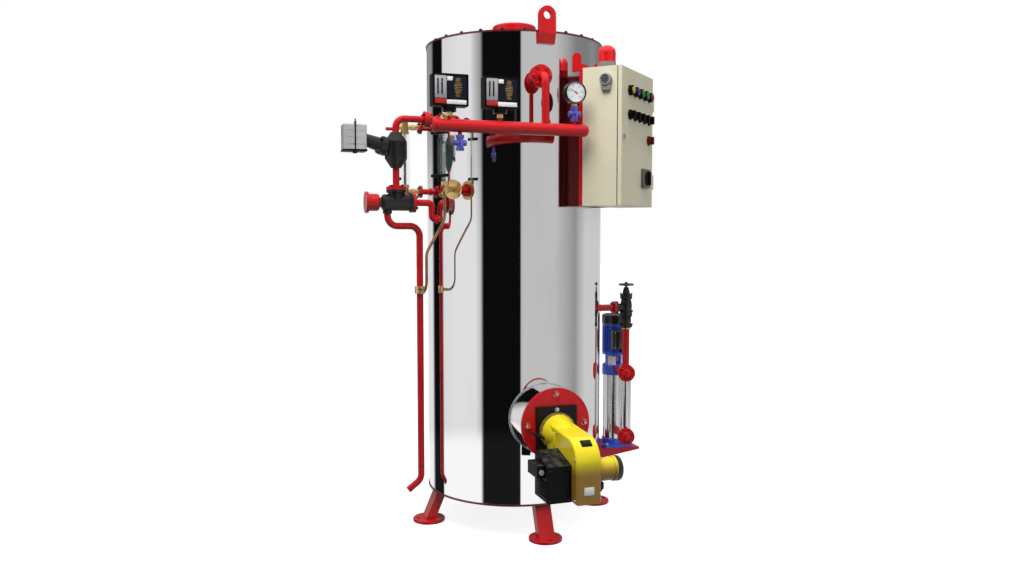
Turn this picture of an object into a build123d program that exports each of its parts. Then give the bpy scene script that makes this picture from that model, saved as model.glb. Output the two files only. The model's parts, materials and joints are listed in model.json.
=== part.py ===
from build123d import *

import os
from math import cos, radians, sin, sqrt

# Vertical steam boiler with its burner, controls, level gauges and feed pump.
# Millimetres, floor at z = 0, boiler axis on Z, burner facing -Y, feed pump on +X.
# Heights named _H are over the lower edge of the shell, depths named _BELOW are under its upper edge.

# Shell
SHELL_R = 450
SHELL_WALL = 50
SHELL_BASE = 165
SHELL_HEIGHT = 2260
PLATE_T = 8
PLATE_LIP = 4
SEAT = 0.3

# Legs and feet
LEG_COUNT = 4
LEG_TOP_INSET = 50
LEG_SPLAY = 65
LEG_W = 80
LEG_T = 50
FOOT_R = 82
FOOT_T = 15
FOOT_ROUND = 5
ANCHOR_OUT = 56
ANCHOR_R = 9

# Flue collar
FLUE_BORE_R = 90
FLUE_WALL = 8
FLUE_H = 113
FLUE_FLANGE_R = 112
FLUE_FLANGE_T = 40
FLUE_FLANGE_ROUND = 10

# Lifting lugs
LUG_W = 84
LUG_T = 20
LUG_OUT = 9
LUG_EYE_R = 19
LUG_EYE_RISE = 66
LUG_PAD_DROP = 63
LUG_PAD_H = 52
LUG_BEVEL_H = 45
LUG_BEVEL_IN = 16

# Burner
BURNER_H = 429
SLEEVE_R = 166
SLEEVE_OUT = 133
BURNER_FLANGE_R = 169
BURNER_FLANGE_T = 14
BURNER_PLATE_W = 200
BURNER_PLATE_TALL = 230
BURNER_PLATE_T = 14
NECK_DROP = 29
NECK_R = 80
NECK_LEN = 20
COLLAR_R = 87
COLLAR_LEN = 14
HOUSING_W = 116
HOUSING_LEN = 347
HOUSING_RISE = 20
HOUSING_SLOPE_DROP = 20
HOUSING_DUCT_H = 132
HOUSING_LEG_DEPTH = 148
HOUSING_LEG_DROP = 268
HOUSING_CROWN_R = 105
HOUSING_ARCH_R = 58
HOUSING_ROUND = 9
SHOULDER_TIP_R = 46
SHOULDER_LEN = 130
AIR_BOX_W = 111
AIR_BOX_DEPTH = 158
AIR_BOX_INSET = 53
AIR_BOX_H = 160
AIR_BOX_RISE = 38
AIR_BOX_FOOT = 2
AIR_BOX_ROUND = 6
DRIVE_W = 34
DRIVE_DEPTH = 118
DRIVE_TALL = 54
DRIVE_INSET = 34
DRIVE_KNOB_R = 13
DRIVE_KNOB_LEN = 9
MOTOR_R = 50
MOTOR_LEN = 90
MOTOR_RING_R = 54
MOTOR_RING_LEN = 12
MOTOR_CAP_R = 55
MOTOR_CAP_LEN = 26
MOTOR_CAP_ROUND = 13
MOTOR_DROP = 139
MOTOR_INSET = 67

# Steam nozzle, riser and header
STEAM_X = -60
STEAM_BELOW = 230
NOZZLE_R = 24
STEAM_FLANGE_R = 52
FLANGE_T = 14
STEAM_FLANGE_OUT = 95
RISER_R = 18
RISER_BEND = 46
HEADER_OUT = 160
HEADER_DROP = 247
HEADER_R = 28
HEADER_END_ROUND = 22
HEADER_LEFT = 570
HEADER_RIGHT = 150
NIPPLE_R = 9
NIPPLE_LEN = 12

# Pressure switches, gauge and cocks on the header
SWITCH_LEFT_X = -508
SWITCH_RIGHT_X = -276
SWITCH_W = 160
SWITCH_DEPTH = 56
SWITCH_TALL = 138
SWITCH_ROUND = 5
SWITCH_WINDOW = 0.9
WINDOW_DEPTH = 3
BELLOWS_R = 34
BELLOWS_LEN = 22
NUT_R = 15
NUT_LEN = 18
GAUGE_X = 80
GAUGE_R = 50
GAUGE_DEPTH = 40
GAUGE_RIM = 5
GAUGE_ROUND = 3
GAUGE_LIFT = 61
COCK_BODY_R = 15
COCK_LEN = 68
COCK_HEX_R = 19
COCK_HEX_LEN = 14
COCK_BARREL_R = 13
COCK_SPAN = 52
DRAIN_X = -460
GAUGE_STEM_R = 8

# Control cabinet, standing off the shell on two brackets
CABINET_AZ = 43
CABINET_OUT = 50
CABINET_DEPTH = 170
CABINET_W = 440
CABINET_SHIFT = -40
CABINET_BELOW = 180
CABINET_TALL = 637
CABINET_WALL = 6
DOOR_T = 18
DOOR_GAP = 5
DOOR_EDGE = 8
DOOR_ROUND = 5
HINGE_OUT = 12
HINGE_PIN_R = 4
HINGE_FIT = 0.08
HINGE_KNUCKLE_R = 8
HINGE_LEN = 36
HINGE_INSET = 90
BRACKET_WALL = 8
BRACKET_STRIP = 22
BRACKET_STRIP_RISE = 20
BRACKET_DEPTH = 60
BRACKET_SPREAD = 306
BRACKET_WEB_DROP = 24
BRACKET_TAB_W = 44
BRACKET_TAB_RISE = 75
BRACKET_TAB_IN = 36
BRACKET_TAB_FOOT = 12
LAMP_COUNT = 5
LAMP_PITCH = 66
LAMP_R = 19
LAMP_LEN = 26
LAMP_ROUND = 5
BEZEL_R = 24
BEZEL_LEN = 10
LAMP_DROP = 102
SWITCH_ROW_DROP = 214
KNOB_R = 20
KNOB_LEN = 30
SPARE_KNOB_DROP = 312
MAIN_SWITCH_W = 100
MAIN_SWITCH_H = 92
MAIN_SWITCH_T = 16
MAIN_SWITCH_ROUND = 6
MAIN_SWITCH_RISE = 137
MAIN_KNOB_R = 26
MAIN_KNOB_LEN = 18
LAMP_ROW_SHIFT = 15
MAIN_SWITCH_SHIFT = 96
BEACON_SHIFT = -170
BEACON_OUT = 99
BEACON_R = 41
BEACON_BASE_H = 24
BEACON_DOME_H = 78
BEACON_ROUND = 37
HORN_R = 29
HORN_LEN = 24
HORN_ROUND = 8
HORN_DROP = 62
HORN_IN = 52
HORN_FOOT_W = 42
HORN_FOOT_T = 16
HORN_FOOT_DROP = 50

# Float level control on the left
LEVEL_Y = -100
LEVEL_OUT = 203
LEVEL_BELOW = 391
LEVEL_SPAN = 406
LEVEL_PIPE_R = 16.5
LEVEL_FLANGE_R = 40
LEVEL_BEND = 44
LEVEL_NOZZLE_OUT = 50
VENT_R = 8
VENT_LEN = 48
VENT_RISE = 16
FLOAT_DROP = 153
FLOAT_R = 54
FLOAT_TALL = 172
FLOAT_STRAIGHT = 84
FLOAT_ROUND = 16
FLOAT_NECK_R = 24
ARM_TILT = 17
ARM_FLANGE_R = 46
ARM_FLANGE_T = 14
ARM_FLANGE_AT = 50
ARM_R = 36
ARM_TIP_R = 28
LEVEL_BOX_OUT = 146
LEVEL_BOX_W = 112
LEVEL_BOX_DEPTH = 90
LEVEL_BOX_TALL = 130
LEVEL_BOX_RISE = 53
LEVEL_BOX_ROUND = 10
TEE_R = 40
TEE_ROUND = 14
TEE_LEFT = 72
TEE_RIGHT = 80
TEE_FLANGE_R = 48
TEE_RISE = 62
SPIGOT_R = 22
SPIGOT_LEN = 14
CAP_NECK_R = 24
CAP_NECK_LEN = 12
CAP_R = 42
CAP_LEN = 54
CAP_ROUND = 13
CAP_FLANGE_R = 52
DROP_LEG_GAP = 25
DROP_LEG_LEN = 82
DROP_BEND = 22

# Blowdown pipe
BLOWDOWN_R = 16.5
BLOWDOWN_OFFSET = 44
BLOWDOWN_SHELL_GAP = 68
BLOWDOWN_Y = -60
BLOWDOWN_BEND = 52
BLOWDOWN_RUN = 8
BLOWDOWN_END_H = 72
BLOWDOWN_KICK = 68
BLOWDOWN_FALL = 52
DRAIN_RING_DROP = 432
DRAIN_RING_R = 24
DRAIN_RING_LEN = 34

# Gauge glasses, each on two radial nozzles
GLASS_AZIMUTHS = (-88.5, -53)
GLASS_OUT = 130
GLASS_BELOW = 422
GLASS_SPAN = 317
GLASS_R = 8
GLASS_NOZZLE_R = 14
GLASS_FLANGE_R = 31
GLASS_FLANGE_OUT = 46
GLASS_FLANGE_T = 12
GLASS_COCK_R = 13
GLASS_BOSS_R = 18
GLASS_BOSS_LEN = 34
GLASS_BOSS_TAIL = 24
GLASS_SOCKET = 14
GLASS_NUT_R = 21
GLASS_NUT_LEN = 16
GLASS_DISC_R = 46
GLASS_DISC_T = 12
SHIELD_W = 50
SHIELD_T = 4
GLASS_FIT = 0.3
DRAIN_TUBE_R = 7
DRAIN_TUBE_BEND = 60
DRAIN_TUBE_RUN = 116
DRAIN_TUBE_LEAN = 163

# Feed pump on its shelf
PUMP_OUT = 128
SHELF_H = 135
SHELF_T = 12
SHELF_W = 200
SHELF_LEN = 240
GUSSET_DROP = 40
GUSSET_T = 10
SHELF_BACK_RISE = 60
SHELF_BACK_T = 14
PUMP_FOOT_W = 170
PUMP_FOOT_T = 14
PUMP_CASING_R = 62
PUMP_CASING_LEN = 26
SLEEVE_PUMP_R = 50
SLEEVE_PUMP_LEN = 354
TIE_ROD_R = 5
TIE_ROD_OUT = 54
TIE_RODS = 4
HEAD_R = 62
HEAD_LEN = 48
LANTERN_R = 46
LANTERN_LEN = 63
LANTERN_WINDOW_W = 44
LANTERN_WINDOW_H = 40
SHAFT_R = 11
PUMP_MOTOR_R = 62
PUMP_MOTOR_LEN = 170
PUMP_MOTOR_CORE_R = 55
PUMP_MOTOR_RING = 14
FIN_COUNT = 28
FIN_T = 4
FAN_COVER_R = 65
FAN_COVER_LEN = 50
FAN_COVER_ROUND = 14
TERMINAL_W = 84
TERMINAL_DEPTH = 44
TERMINAL_TALL = 104
TERMINAL_ROUND = 8

# Feed line from the pump to the shell
FEED_Y = -150
FEED_TUBE_R = 30
FEED_TUBE_OVER = 32
PORT_RISE = 48
PORT_HIGH_RISE = 34
PORT_R = 22
PORT_BEND = 60
PORT_AZ = -20
PORT_FLANGE_R = 45
PORT_FLANGE_OUT = 42
FEED_RISER_R = 19
FEED_RISER_LEN = 207
CHECK_LEN = 72
CHECK_R = 27
CHECK_NECK_R = 22
VALVE_FLANGE_R = 33
VALVE_FLANGE_T = 12
FEED_RISE = 35
VALVE_R = 31
VALVE_NECK_R = 24
VALVE_BRANCH_R = 20
VALVE_SIDE = 66
BONNET_RISE = 79
BONNET_FLANGE_R = 32
BONNET_LEN = 38
BONNET_R = 22
GLAND_R = 12
STEM_R = 6
STEM_LEN = 22
FEED_R = 17
FEED_FLANGE_R = 33
WHEEL_R = 36
WHEEL_RIM_R = 5
WHEEL_HUB_R = 11
WHEEL_HUB_LEN = 16
WHEEL_FIT = 0.08
WHEEL_SPOKE_R = 3.5
WHEEL_SPOKES = 4

shell_top = SHELL_BASE + SHELL_HEIGHT
BASE = (Align.CENTER, Align.CENTER, Align.MIN)
LEFT = (-1, 0, 0)
RIGHT = (1, 0, 0)
FRONT = (0, -1, 0)
BACK = (0, 1, 0)
UP = (0, 0, 1)
DOWN = (0, 0, -1)


def height(over_edge):
    """Floor height of something over the lower edge of the shell."""
    return SHELL_BASE + over_edge


def below_top(depth):
    """Floor height of something under the upper edge of the shell."""
    return shell_top - depth


def outward(azimuth):
    """Level direction away from the boiler axis; 0 is the front, 90 the pump side."""
    return (sin(radians(azimuth)), -cos(radians(azimuth)), 0)


def sideways(azimuth):
    """Level direction along the shell, to the right of outward."""
    return (cos(radians(azimuth)), sin(radians(azimuth)), 0)


def facing(azimuth):
    """Upright plane on the boiler axis: x sideways, y up, normal outward."""
    return Plane(origin=(0, 0, 0), x_dir=sideways(azimuth), z_dir=outward(azimuth))


def radial(azimuth):
    """Upright plane through the boiler axis: x outward, y up."""
    normal = (-cos(radians(azimuth)), -sin(radians(azimuth)), 0)
    return Plane(origin=(0, 0, 0), x_dir=outward(azimuth), z_dir=normal)


def at(azimuth, radius, z, side=0):
    """Point by azimuth, distance out, height and distance sideways."""
    out = outward(azimuth)
    along = sideways(azimuth)
    return (out[0] * radius + along[0] * side, out[1] * radius + along[1] * side, z)


def rod(start, axis, radius, length, mode=Mode.ADD):
    """Round bar from a point along an axis."""
    with Locations(Plane(origin=start, z_dir=axis)):
        Cylinder(radius, length, align=BASE, mode=mode)


def taper(start, axis, radius, tip_radius, length):
    """Round bar that narrows from one radius to another."""
    with Locations(Plane(origin=start, z_dir=axis)):
        Cone(radius, tip_radius, length, align=BASE)


def block(low, high, mode=Mode.ADD):
    """Square block between two corners."""
    size = [high[i] - low[i] for i in range(3)]
    with Locations(tuple((high[i] + low[i]) / 2 for i in range(3))):
        Box(*size, mode=mode)


def hexagon(start, axis, radius, length):
    """Hexagon nut from a point along an axis."""
    with BuildSketch(Plane(origin=start, z_dir=axis)) as flats:
        RegularPolygon(radius, 6)
    extrude(flats.sketch, amount=length)


def bulged(start, axis, end_radius, mid_radius, length):
    """Round body that swells between its two ends."""
    base = Plane(origin=start, z_dir=axis)
    half = Plane(origin=start, x_dir=base.x_dir, z_dir=base.x_dir.cross(base.z_dir))
    with BuildSketch(half) as profile:
        with BuildLine():
            Polyline((end_radius, length), (0, length), (0, 0), (end_radius, 0))
            ThreePointArc((end_radius, 0), (mid_radius, length / 2), (end_radius, length))
        make_face()
    revolve(profile.sketch, axis=Axis(start, axis))


def bent_pipe(points, bend, radius):
    """Pipe along straight runs joined by arcs."""
    with BuildLine() as path:
        FilletPolyline(*points, radius=bend)
    with BuildSketch(Plane(origin=path.line @ 0, z_dir=path.line % 0)) as section:
        Circle(radius)
    sweep(section.sketch, path=path.line)


def seat_on_shell():
    """Cut back what reaches into the shell."""
    Cylinder(SHELL_R + SEAT, shell_top, align=BASE, mode=Mode.SUBTRACT)


def shell_x(y):
    """Distance of the shell surface from the YZ plane, at a y."""
    return sqrt(SHELL_R**2 - y**2)


def save(name, piece):
    """Label one piece and write its file."""
    piece.part.label = name
    export_step(piece.part, f"parts/{name}.step")


os.makedirs("parts", exist_ok=True)

# Shell, closed by its two end plates
with BuildPart() as jacket:
    with BuildSketch(Plane.XY.offset(SHELL_BASE + PLATE_T)):
        Circle(SHELL_R)
        Circle(SHELL_R - SHELL_WALL, mode=Mode.SUBTRACT)
    extrude(amount=SHELL_HEIGHT - 2 * PLATE_T)
save("jacket", jacket)

with BuildPart() as top_plate:
    with BuildSketch(Plane.XY.offset(shell_top - PLATE_T)):
        Circle(SHELL_R + PLATE_LIP)
        Circle(FLUE_BORE_R, mode=Mode.SUBTRACT)
    extrude(amount=PLATE_T)
save("top_plate", top_plate)

with BuildPart() as bottom_plate:
    rod((0, 0, SHELL_BASE), UP, SHELL_R + PLATE_LIP, PLATE_T)
save("bottom_plate", bottom_plate)

with BuildPart() as flue_collar:
    rod((0, 0, shell_top), UP, FLUE_BORE_R + FLUE_WALL, FLUE_H)
    rod((0, 0, shell_top + FLUE_H - FLUE_FLANGE_T), UP, FLUE_FLANGE_R, FLUE_FLANGE_T)
    fillet(flue_collar.edges().sort_by(Axis.Z)[-1], FLUE_FLANGE_ROUND)
    rod((0, 0, shell_top), UP, FLUE_BORE_R, FLUE_H, Mode.SUBTRACT)
save("flue_collar", flue_collar)

# Splayed flat legs on round feet, each foot with one anchor hole
leg_top_r = SHELL_R - LEG_TOP_INSET
leg_foot_r = leg_top_r + LEG_SPLAY
with BuildPart() as legs:
    for k in range(LEG_COUNT):
        azimuth = k * 360 / LEG_COUNT
        with BuildSketch(radial(azimuth)) as side:
            Polygon(
                (leg_top_r - LEG_T / 2, SHELL_BASE),
                (leg_top_r + LEG_T / 2, SHELL_BASE),
                (leg_foot_r + LEG_T / 2, FOOT_T),
                (leg_foot_r - LEG_T / 2, FOOT_T),
                align=None,
            )
        extrude(side.sketch, amount=LEG_W / 2, both=True)
        rod(at(azimuth, leg_foot_r, 0), UP, FOOT_R, FOOT_T)
    fillet(legs.edges().filter_by(GeomType.CIRCLE).filter_by_position(Axis.Z, FOOT_T, FOOT_T), FOOT_ROUND)
    for k in range(LEG_COUNT):
        hole = at(k * 360 / LEG_COUNT, leg_foot_r + ANCHOR_OUT, 0)
        rod(hole, UP, ANCHOR_R, FOOT_T, Mode.SUBTRACT)
save("legs", legs)

# Lifting lugs, front and back, each a round-topped plate on a pad, bevelled at its foot
lug_r = SHELL_R + LUG_OUT
eye_z = shell_top + LUG_EYE_RISE
pad_z = shell_top - LUG_PAD_DROP
with BuildPart() as lifting_lugs:
    for azimuth in (0, 180):
        with BuildSketch(facing(azimuth).offset(lug_r)) as plate:
            with Locations((0, (pad_z + eye_z) / 2)):
                Rectangle(LUG_W, eye_z - pad_z)
            with Locations((0, eye_z)):
                Circle(LUG_W / 2)
                Circle(LUG_EYE_R, mode=Mode.SUBTRACT)
        extrude(plate.sketch, amount=LUG_T)
        with BuildSketch(facing(azimuth).offset(leg_top_r)) as pad:
            with Locations((0, pad_z + LUG_PAD_H / 2)):
                Rectangle(LUG_W, LUG_PAD_H)
        extrude(pad.sketch, amount=lug_r - leg_top_r)
        with BuildSketch(radial(azimuth)) as bevel:
            Polygon(
                (lug_r + LUG_T, pad_z),
                (lug_r + LUG_T, pad_z + LUG_BEVEL_H),
                (lug_r + LUG_T - LUG_BEVEL_IN, pad_z),
                align=None,
            )
        extrude(bevel.sketch, amount=LUG_W, both=True, mode=Mode.SUBTRACT)
    seat_on_shell()
save("lifting_lugs", lifting_lugs)

# Burner: sleeve, mounting plates, neck and scroll housing along -Y
burner_z = height(BURNER_H)
neck_z = burner_z - NECK_DROP
sleeve_y = -(SHELL_R + SLEEVE_OUT)
plate_y = sleeve_y - BURNER_FLANGE_T
neck_y = plate_y - BURNER_PLATE_T
housing_y = neck_y - NECK_LEN
with BuildPart() as burner_sleeve:
    rod((0, sleeve_y, burner_z), BACK, SLEEVE_R, SLEEVE_OUT + SLEEVE_R)
    seat_on_shell()
save("burner_sleeve", burner_sleeve)

with BuildPart() as burner_flange:
    rod((0, sleeve_y, burner_z), FRONT, BURNER_FLANGE_R, BURNER_FLANGE_T)
save("burner_flange", burner_flange)

with BuildPart() as burner_plate:
    block(
        (-BURNER_PLATE_W / 2, neck_y, neck_z - BURNER_PLATE_TALL / 2),
        (BURNER_PLATE_W / 2, plate_y, neck_z + BURNER_PLATE_TALL / 2),
    )
save("burner_plate", burner_plate)

with BuildPart() as burner_neck:
    rod((0, neck_y, neck_z), FRONT, NECK_R, NECK_LEN)
    rod((0, neck_y, neck_z), FRONT, COLLAR_R, COLLAR_LEN)
save("burner_neck", burner_neck)

# Scroll housing: a round shoulder runs into a duct that rounds over into an upright leg
duct_top = burner_z + HOUSING_RISE
duct_low = duct_top - HOUSING_DUCT_H
nose_z = duct_top - HOUSING_SLOPE_DROP
leg_low = burner_z - HOUSING_LEG_DROP
leg_back = HOUSING_LEN - HOUSING_LEG_DEPTH
with BuildPart() as burner_housing:
    profile_plane = Plane(origin=(0, housing_y, 0), x_dir=FRONT, z_dir=LEFT)
    with BuildSketch(profile_plane) as scroll:
        Polygon(
            (0, duct_top),
            (HOUSING_LEN, nose_z),
            (HOUSING_LEN, leg_low),
            (leg_back, leg_low),
            (leg_back, duct_low),
            (0, duct_low),
            align=None,
        )
        fillet(scroll.vertices().sort_by_distance((HOUSING_LEN, nose_z, 0))[0], HOUSING_CROWN_R)
        fillet(scroll.vertices().sort_by_distance((leg_back, duct_low, 0))[0], HOUSING_ARCH_R)
    extrude(amount=HOUSING_W / 2, both=True)
    fillet(burner_housing.faces().filter_by(Axis.X).edges(), HOUSING_ROUND)
    taper((0, housing_y, neck_z), FRONT, NECK_R, SHOULDER_TIP_R, SHOULDER_LEN)
save("burner_housing", burner_housing)

# Air intake box on the left of the leg, with a sloping top
air_low = leg_low + AIR_BOX_FOOT
air_front = housing_y - HOUSING_LEN + AIR_BOX_INSET
air_left = -HOUSING_W / 2 - AIR_BOX_W
with BuildPart() as air_box:
    with BuildSketch(Plane(origin=(-HOUSING_W / 2, 0, 0), x_dir=FRONT, z_dir=LEFT)):
        Polygon(
            (-air_front, air_low),
            (-air_front, air_low + AIR_BOX_H),
            (-air_front - AIR_BOX_DEPTH, air_low + AIR_BOX_H + AIR_BOX_RISE),
            (-air_front - AIR_BOX_DEPTH, air_low),
            align=None,
        )
    extrude(amount=AIR_BOX_W)
    fillet(air_box.faces().sort_by(Axis.X)[0].edges(), AIR_BOX_ROUND)
    drive_front = air_front + DRIVE_INSET
    drive_top = air_low + AIR_BOX_H
    block(
        (air_left - DRIVE_W, drive_front, drive_top - DRIVE_TALL),
        (air_left, drive_front + DRIVE_DEPTH, drive_top),
    )
    knob_centre = (air_left - DRIVE_W / 2, drive_front, drive_top - DRIVE_TALL / 2)
    rod(knob_centre, FRONT, DRIVE_KNOB_R, DRIVE_KNOB_LEN)
save("air_box", air_box)

motor_y = housing_y - HOUSING_LEN + MOTOR_INSET
motor_z = burner_z - MOTOR_DROP
with BuildPart() as burner_motor:
    rod((HOUSING_W / 2, motor_y, motor_z), RIGHT, MOTOR_R, MOTOR_LEN)
    for x in (HOUSING_W / 2, HOUSING_W / 2 + MOTOR_LEN - MOTOR_RING_LEN):
        rod((x, motor_y, motor_z), RIGHT, MOTOR_RING_R, MOTOR_RING_LEN)
save("burner_motor", burner_motor)

with BuildPart() as burner_motor_cap:
    rod((HOUSING_W / 2 + MOTOR_LEN, motor_y, motor_z), RIGHT, MOTOR_CAP_R, MOTOR_CAP_LEN)
    fillet(burner_motor_cap.edges().sort_by(Axis.X)[-1], MOTOR_CAP_ROUND)
save("burner_motor_cap", burner_motor_cap)

# Steam header across the front, fed by a riser from the nozzle
header_y = -(SHELL_R + HEADER_OUT)
steam_z = below_top(STEAM_BELOW)
header_z = steam_z - HEADER_DROP
header_len = HEADER_LEFT + HEADER_RIGHT
nipple_top = header_z + HEADER_R + NIPPLE_LEN
nipple_low = header_z - HEADER_R - NIPPLE_LEN
flange_y = -(SHELL_R + STEAM_FLANGE_OUT)
with BuildPart() as steam_nozzle:
    rod((STEAM_X, flange_y, steam_z), BACK, NOZZLE_R, STEAM_FLANGE_OUT + NOZZLE_R)
    rod((STEAM_X, flange_y, steam_z), BACK, STEAM_FLANGE_R, FLANGE_T)
    seat_on_shell()
save("steam_nozzle", steam_nozzle)

with BuildPart() as steam_riser:
    rod((STEAM_X, flange_y, steam_z), FRONT, STEAM_FLANGE_R, FLANGE_T)
    bent_pipe(
        [(STEAM_X, flange_y, steam_z), (STEAM_X, header_y, steam_z), (STEAM_X, header_y, header_z)],
        RISER_BEND,
        RISER_R,
    )
    rod((-HEADER_LEFT, header_y, header_z), RIGHT, HEADER_R + SEAT, header_len, Mode.SUBTRACT)
save("steam_riser", steam_riser)

with BuildPart() as steam_header:
    rod((-HEADER_LEFT, header_y, header_z), RIGHT, HEADER_R, header_len)
    fillet(steam_header.edges().filter_by(GeomType.CIRCLE).sort_by(Axis.X)[-1], HEADER_END_ROUND)
    for x in (SWITCH_LEFT_X, SWITCH_RIGHT_X, GAUGE_X):
        rod((x, header_y, header_z), UP, NIPPLE_R, nipple_top - header_z)
    rod((DRAIN_X, header_y, header_z), DOWN, NIPPLE_R, header_z - nipple_low)
save("steam_header", steam_header)

# Pressure switches: a box on a round bellows, held by a nut on its nipple
bellows_low = nipple_top + NUT_LEN
box_low = bellows_low + BELLOWS_LEN
with BuildPart() as switch_nuts:
    for x in (SWITCH_LEFT_X, SWITCH_RIGHT_X):
        hexagon((x, header_y, nipple_top), UP, NUT_R, NUT_LEN)
save("switch_nuts", switch_nuts)

with BuildPart() as pressure_switches:
    for x in (SWITCH_LEFT_X, SWITCH_RIGHT_X):
        block(
            (x - SWITCH_W / 2, header_y - SWITCH_DEPTH / 2, box_low),
            (x + SWITCH_W / 2, header_y + SWITCH_DEPTH / 2, box_low + SWITCH_TALL),
        )
    fillet(pressure_switches.edges().filter_by(Axis.Y), SWITCH_ROUND)
    for x in (SWITCH_LEFT_X, SWITCH_RIGHT_X):
        window_z = box_low + SWITCH_TALL / 2
        reach_x = SWITCH_W * SWITCH_WINDOW / 2
        reach_z = SWITCH_TALL * SWITCH_WINDOW / 2
        front_y = header_y - SWITCH_DEPTH / 2
        block(
            (x - reach_x, front_y, window_z - reach_z),
            (x + reach_x, front_y + WINDOW_DEPTH, window_z + reach_z),
            Mode.SUBTRACT,
        )
        rod((x, header_y, bellows_low), UP, min(BELLOWS_R, SWITCH_DEPTH / 2), BELLOWS_LEN)
save("pressure_switches", pressure_switches)

# Blue cocks: one under the gauge, one hanging from the header
with BuildPart() as header_cocks:
    for x, foot_z, way in ((GAUGE_X, nipple_top, 1), (DRAIN_X, nipple_low, -1)):
        middle = foot_z + way * COCK_LEN / 2
        rod((x, header_y, foot_z), (0, 0, way), COCK_BODY_R, COCK_LEN)
        hexagon((x, header_y, foot_z), (0, 0, way), COCK_HEX_R, COCK_HEX_LEN)
        hexagon((x, header_y, foot_z + way * COCK_LEN), (0, 0, -way), COCK_HEX_R, COCK_HEX_LEN)
        rod((x - COCK_SPAN / 2, header_y, middle), RIGHT, COCK_BARREL_R, COCK_SPAN)
save("header_cocks", header_cocks)

gauge_low = nipple_top + COCK_LEN
gauge_z = gauge_low + GAUGE_LIFT
with BuildPart() as pressure_gauge:
    dial_centre = (GAUGE_X, header_y - GAUGE_DEPTH / 2, gauge_z)
    rod(dial_centre, BACK, GAUGE_R, GAUGE_DEPTH)
    fillet(pressure_gauge.edges().filter_by(GeomType.CIRCLE), GAUGE_ROUND)
    rod(dial_centre, BACK, GAUGE_R - GAUGE_RIM, WINDOW_DEPTH, Mode.SUBTRACT)
    rod((GAUGE_X, header_y, gauge_low), UP, GAUGE_STEM_R, GAUGE_LIFT)
save("pressure_gauge", pressure_gauge)

# Control cabinet, open on its outer face, behind a hinged door
cabinet_top = below_top(CABINET_BELOW)
cabinet_mid = cabinet_top - CABINET_TALL / 2
cabinet_low = cabinet_top - CABINET_TALL
cabinet_back = SHELL_R + CABINET_OUT
cabinet_face = cabinet_back + CABINET_DEPTH
door_back = cabinet_face + DOOR_GAP
door_face = door_back + DOOR_T
far_side = CABINET_SHIFT + CABINET_W / 2
near_side = CABINET_SHIFT - CABINET_W / 2
hinge_side = far_side + HINGE_OUT
hinge_r = door_back + DOOR_T / 2
hinge_heights = (cabinet_low + HINGE_INSET, cabinet_top - HINGE_INSET - 2 * HINGE_LEN)
cabinet_plane = facing(CABINET_AZ)
door_axis = Axis((0, 0, 0), outward(CABINET_AZ))
knuckle_root = far_side - DOOR_EDGE - HINGE_KNUCKLE_R
with BuildPart() as control_cabinet:
    with BuildSketch(cabinet_plane.offset(cabinet_back)) as outline:
        with Locations((CABINET_SHIFT, cabinet_mid)):
            Rectangle(CABINET_W, CABINET_TALL)
    extrude(outline.sketch, amount=CABINET_DEPTH)
    with BuildSketch(cabinet_plane.offset(cabinet_back + CABINET_WALL)) as inside:
        with Locations((CABINET_SHIFT, cabinet_mid)):
            Rectangle(CABINET_W - 2 * CABINET_WALL, CABINET_TALL - 2 * CABINET_WALL)
    extrude(inside.sketch, amount=CABINET_DEPTH, mode=Mode.SUBTRACT)
    for z in hinge_heights:
        with BuildSketch(Plane.XY.offset(z)) as leaf:
            corners = [
                at(CABINET_AZ, r, z, s)[:2]
                for r, s in (
                    (cabinet_face - HINGE_LEN, far_side),
                    (cabinet_face, far_side),
                    (hinge_r, hinge_side - HINGE_KNUCKLE_R),
                    (hinge_r, hinge_side + HINGE_KNUCKLE_R),
                    (cabinet_face - HINGE_LEN, hinge_side + HINGE_KNUCKLE_R),
                )
            ]
            Polygon(*corners, align=None)
            with Locations(at(CABINET_AZ, hinge_r, z, hinge_side)[:2]):
                Circle(HINGE_KNUCKLE_R)
        extrude(leaf.sketch, amount=HINGE_LEN)
        rod(at(CABINET_AZ, hinge_r, z + HINGE_LEN, hinge_side), UP, HINGE_PIN_R, HINGE_LEN)
save("control_cabinet", control_cabinet)

with BuildPart() as cabinet_door:
    with BuildSketch(cabinet_plane.offset(door_back)) as leaf:
        with Locations((CABINET_SHIFT - DOOR_EDGE / 2, cabinet_mid)):
            Rectangle(CABINET_W - DOOR_EDGE, CABINET_TALL)
    extrude(leaf.sketch, amount=DOOR_T)
    fillet(cabinet_door.faces().sort_by(door_axis)[-1].edges(), DOOR_ROUND)
    for z in hinge_heights:
        knuckle_z = z + HINGE_LEN + SEAT
        with BuildSketch(Plane.XY.offset(knuckle_z)) as knuckle:
            corners = [
                at(CABINET_AZ, r, knuckle_z, s)[:2]
                for r, s in (
                    (hinge_r - HINGE_PIN_R, knuckle_root),
                    (hinge_r + HINGE_PIN_R, knuckle_root),
                    (hinge_r + HINGE_PIN_R, hinge_side),
                    (hinge_r - HINGE_PIN_R, hinge_side),
                )
            ]
            Polygon(*corners, align=None)
            with Locations(at(CABINET_AZ, hinge_r, z, hinge_side)[:2]):
                Circle(HINGE_KNUCKLE_R)
                Circle(HINGE_PIN_R + HINGE_FIT, mode=Mode.SUBTRACT)
        extrude(knuckle.sketch, amount=HINGE_LEN - 2 * SEAT)
save("cabinet_door", cabinet_door)

# Lamps, knobs and main switch on the door
lamp_row = CABINET_SHIFT + LAMP_ROW_SHIFT
lamp_sides = [lamp_row + (k - (LAMP_COUNT - 1) / 2) * LAMP_PITCH for k in range(LAMP_COUNT)]
door_way = outward(CABINET_AZ)


def on_door(side, z, rise=0):
    """Point on the door's outer face, or a height over it."""
    return at(CABINET_AZ, door_face + rise, z, side)


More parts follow.
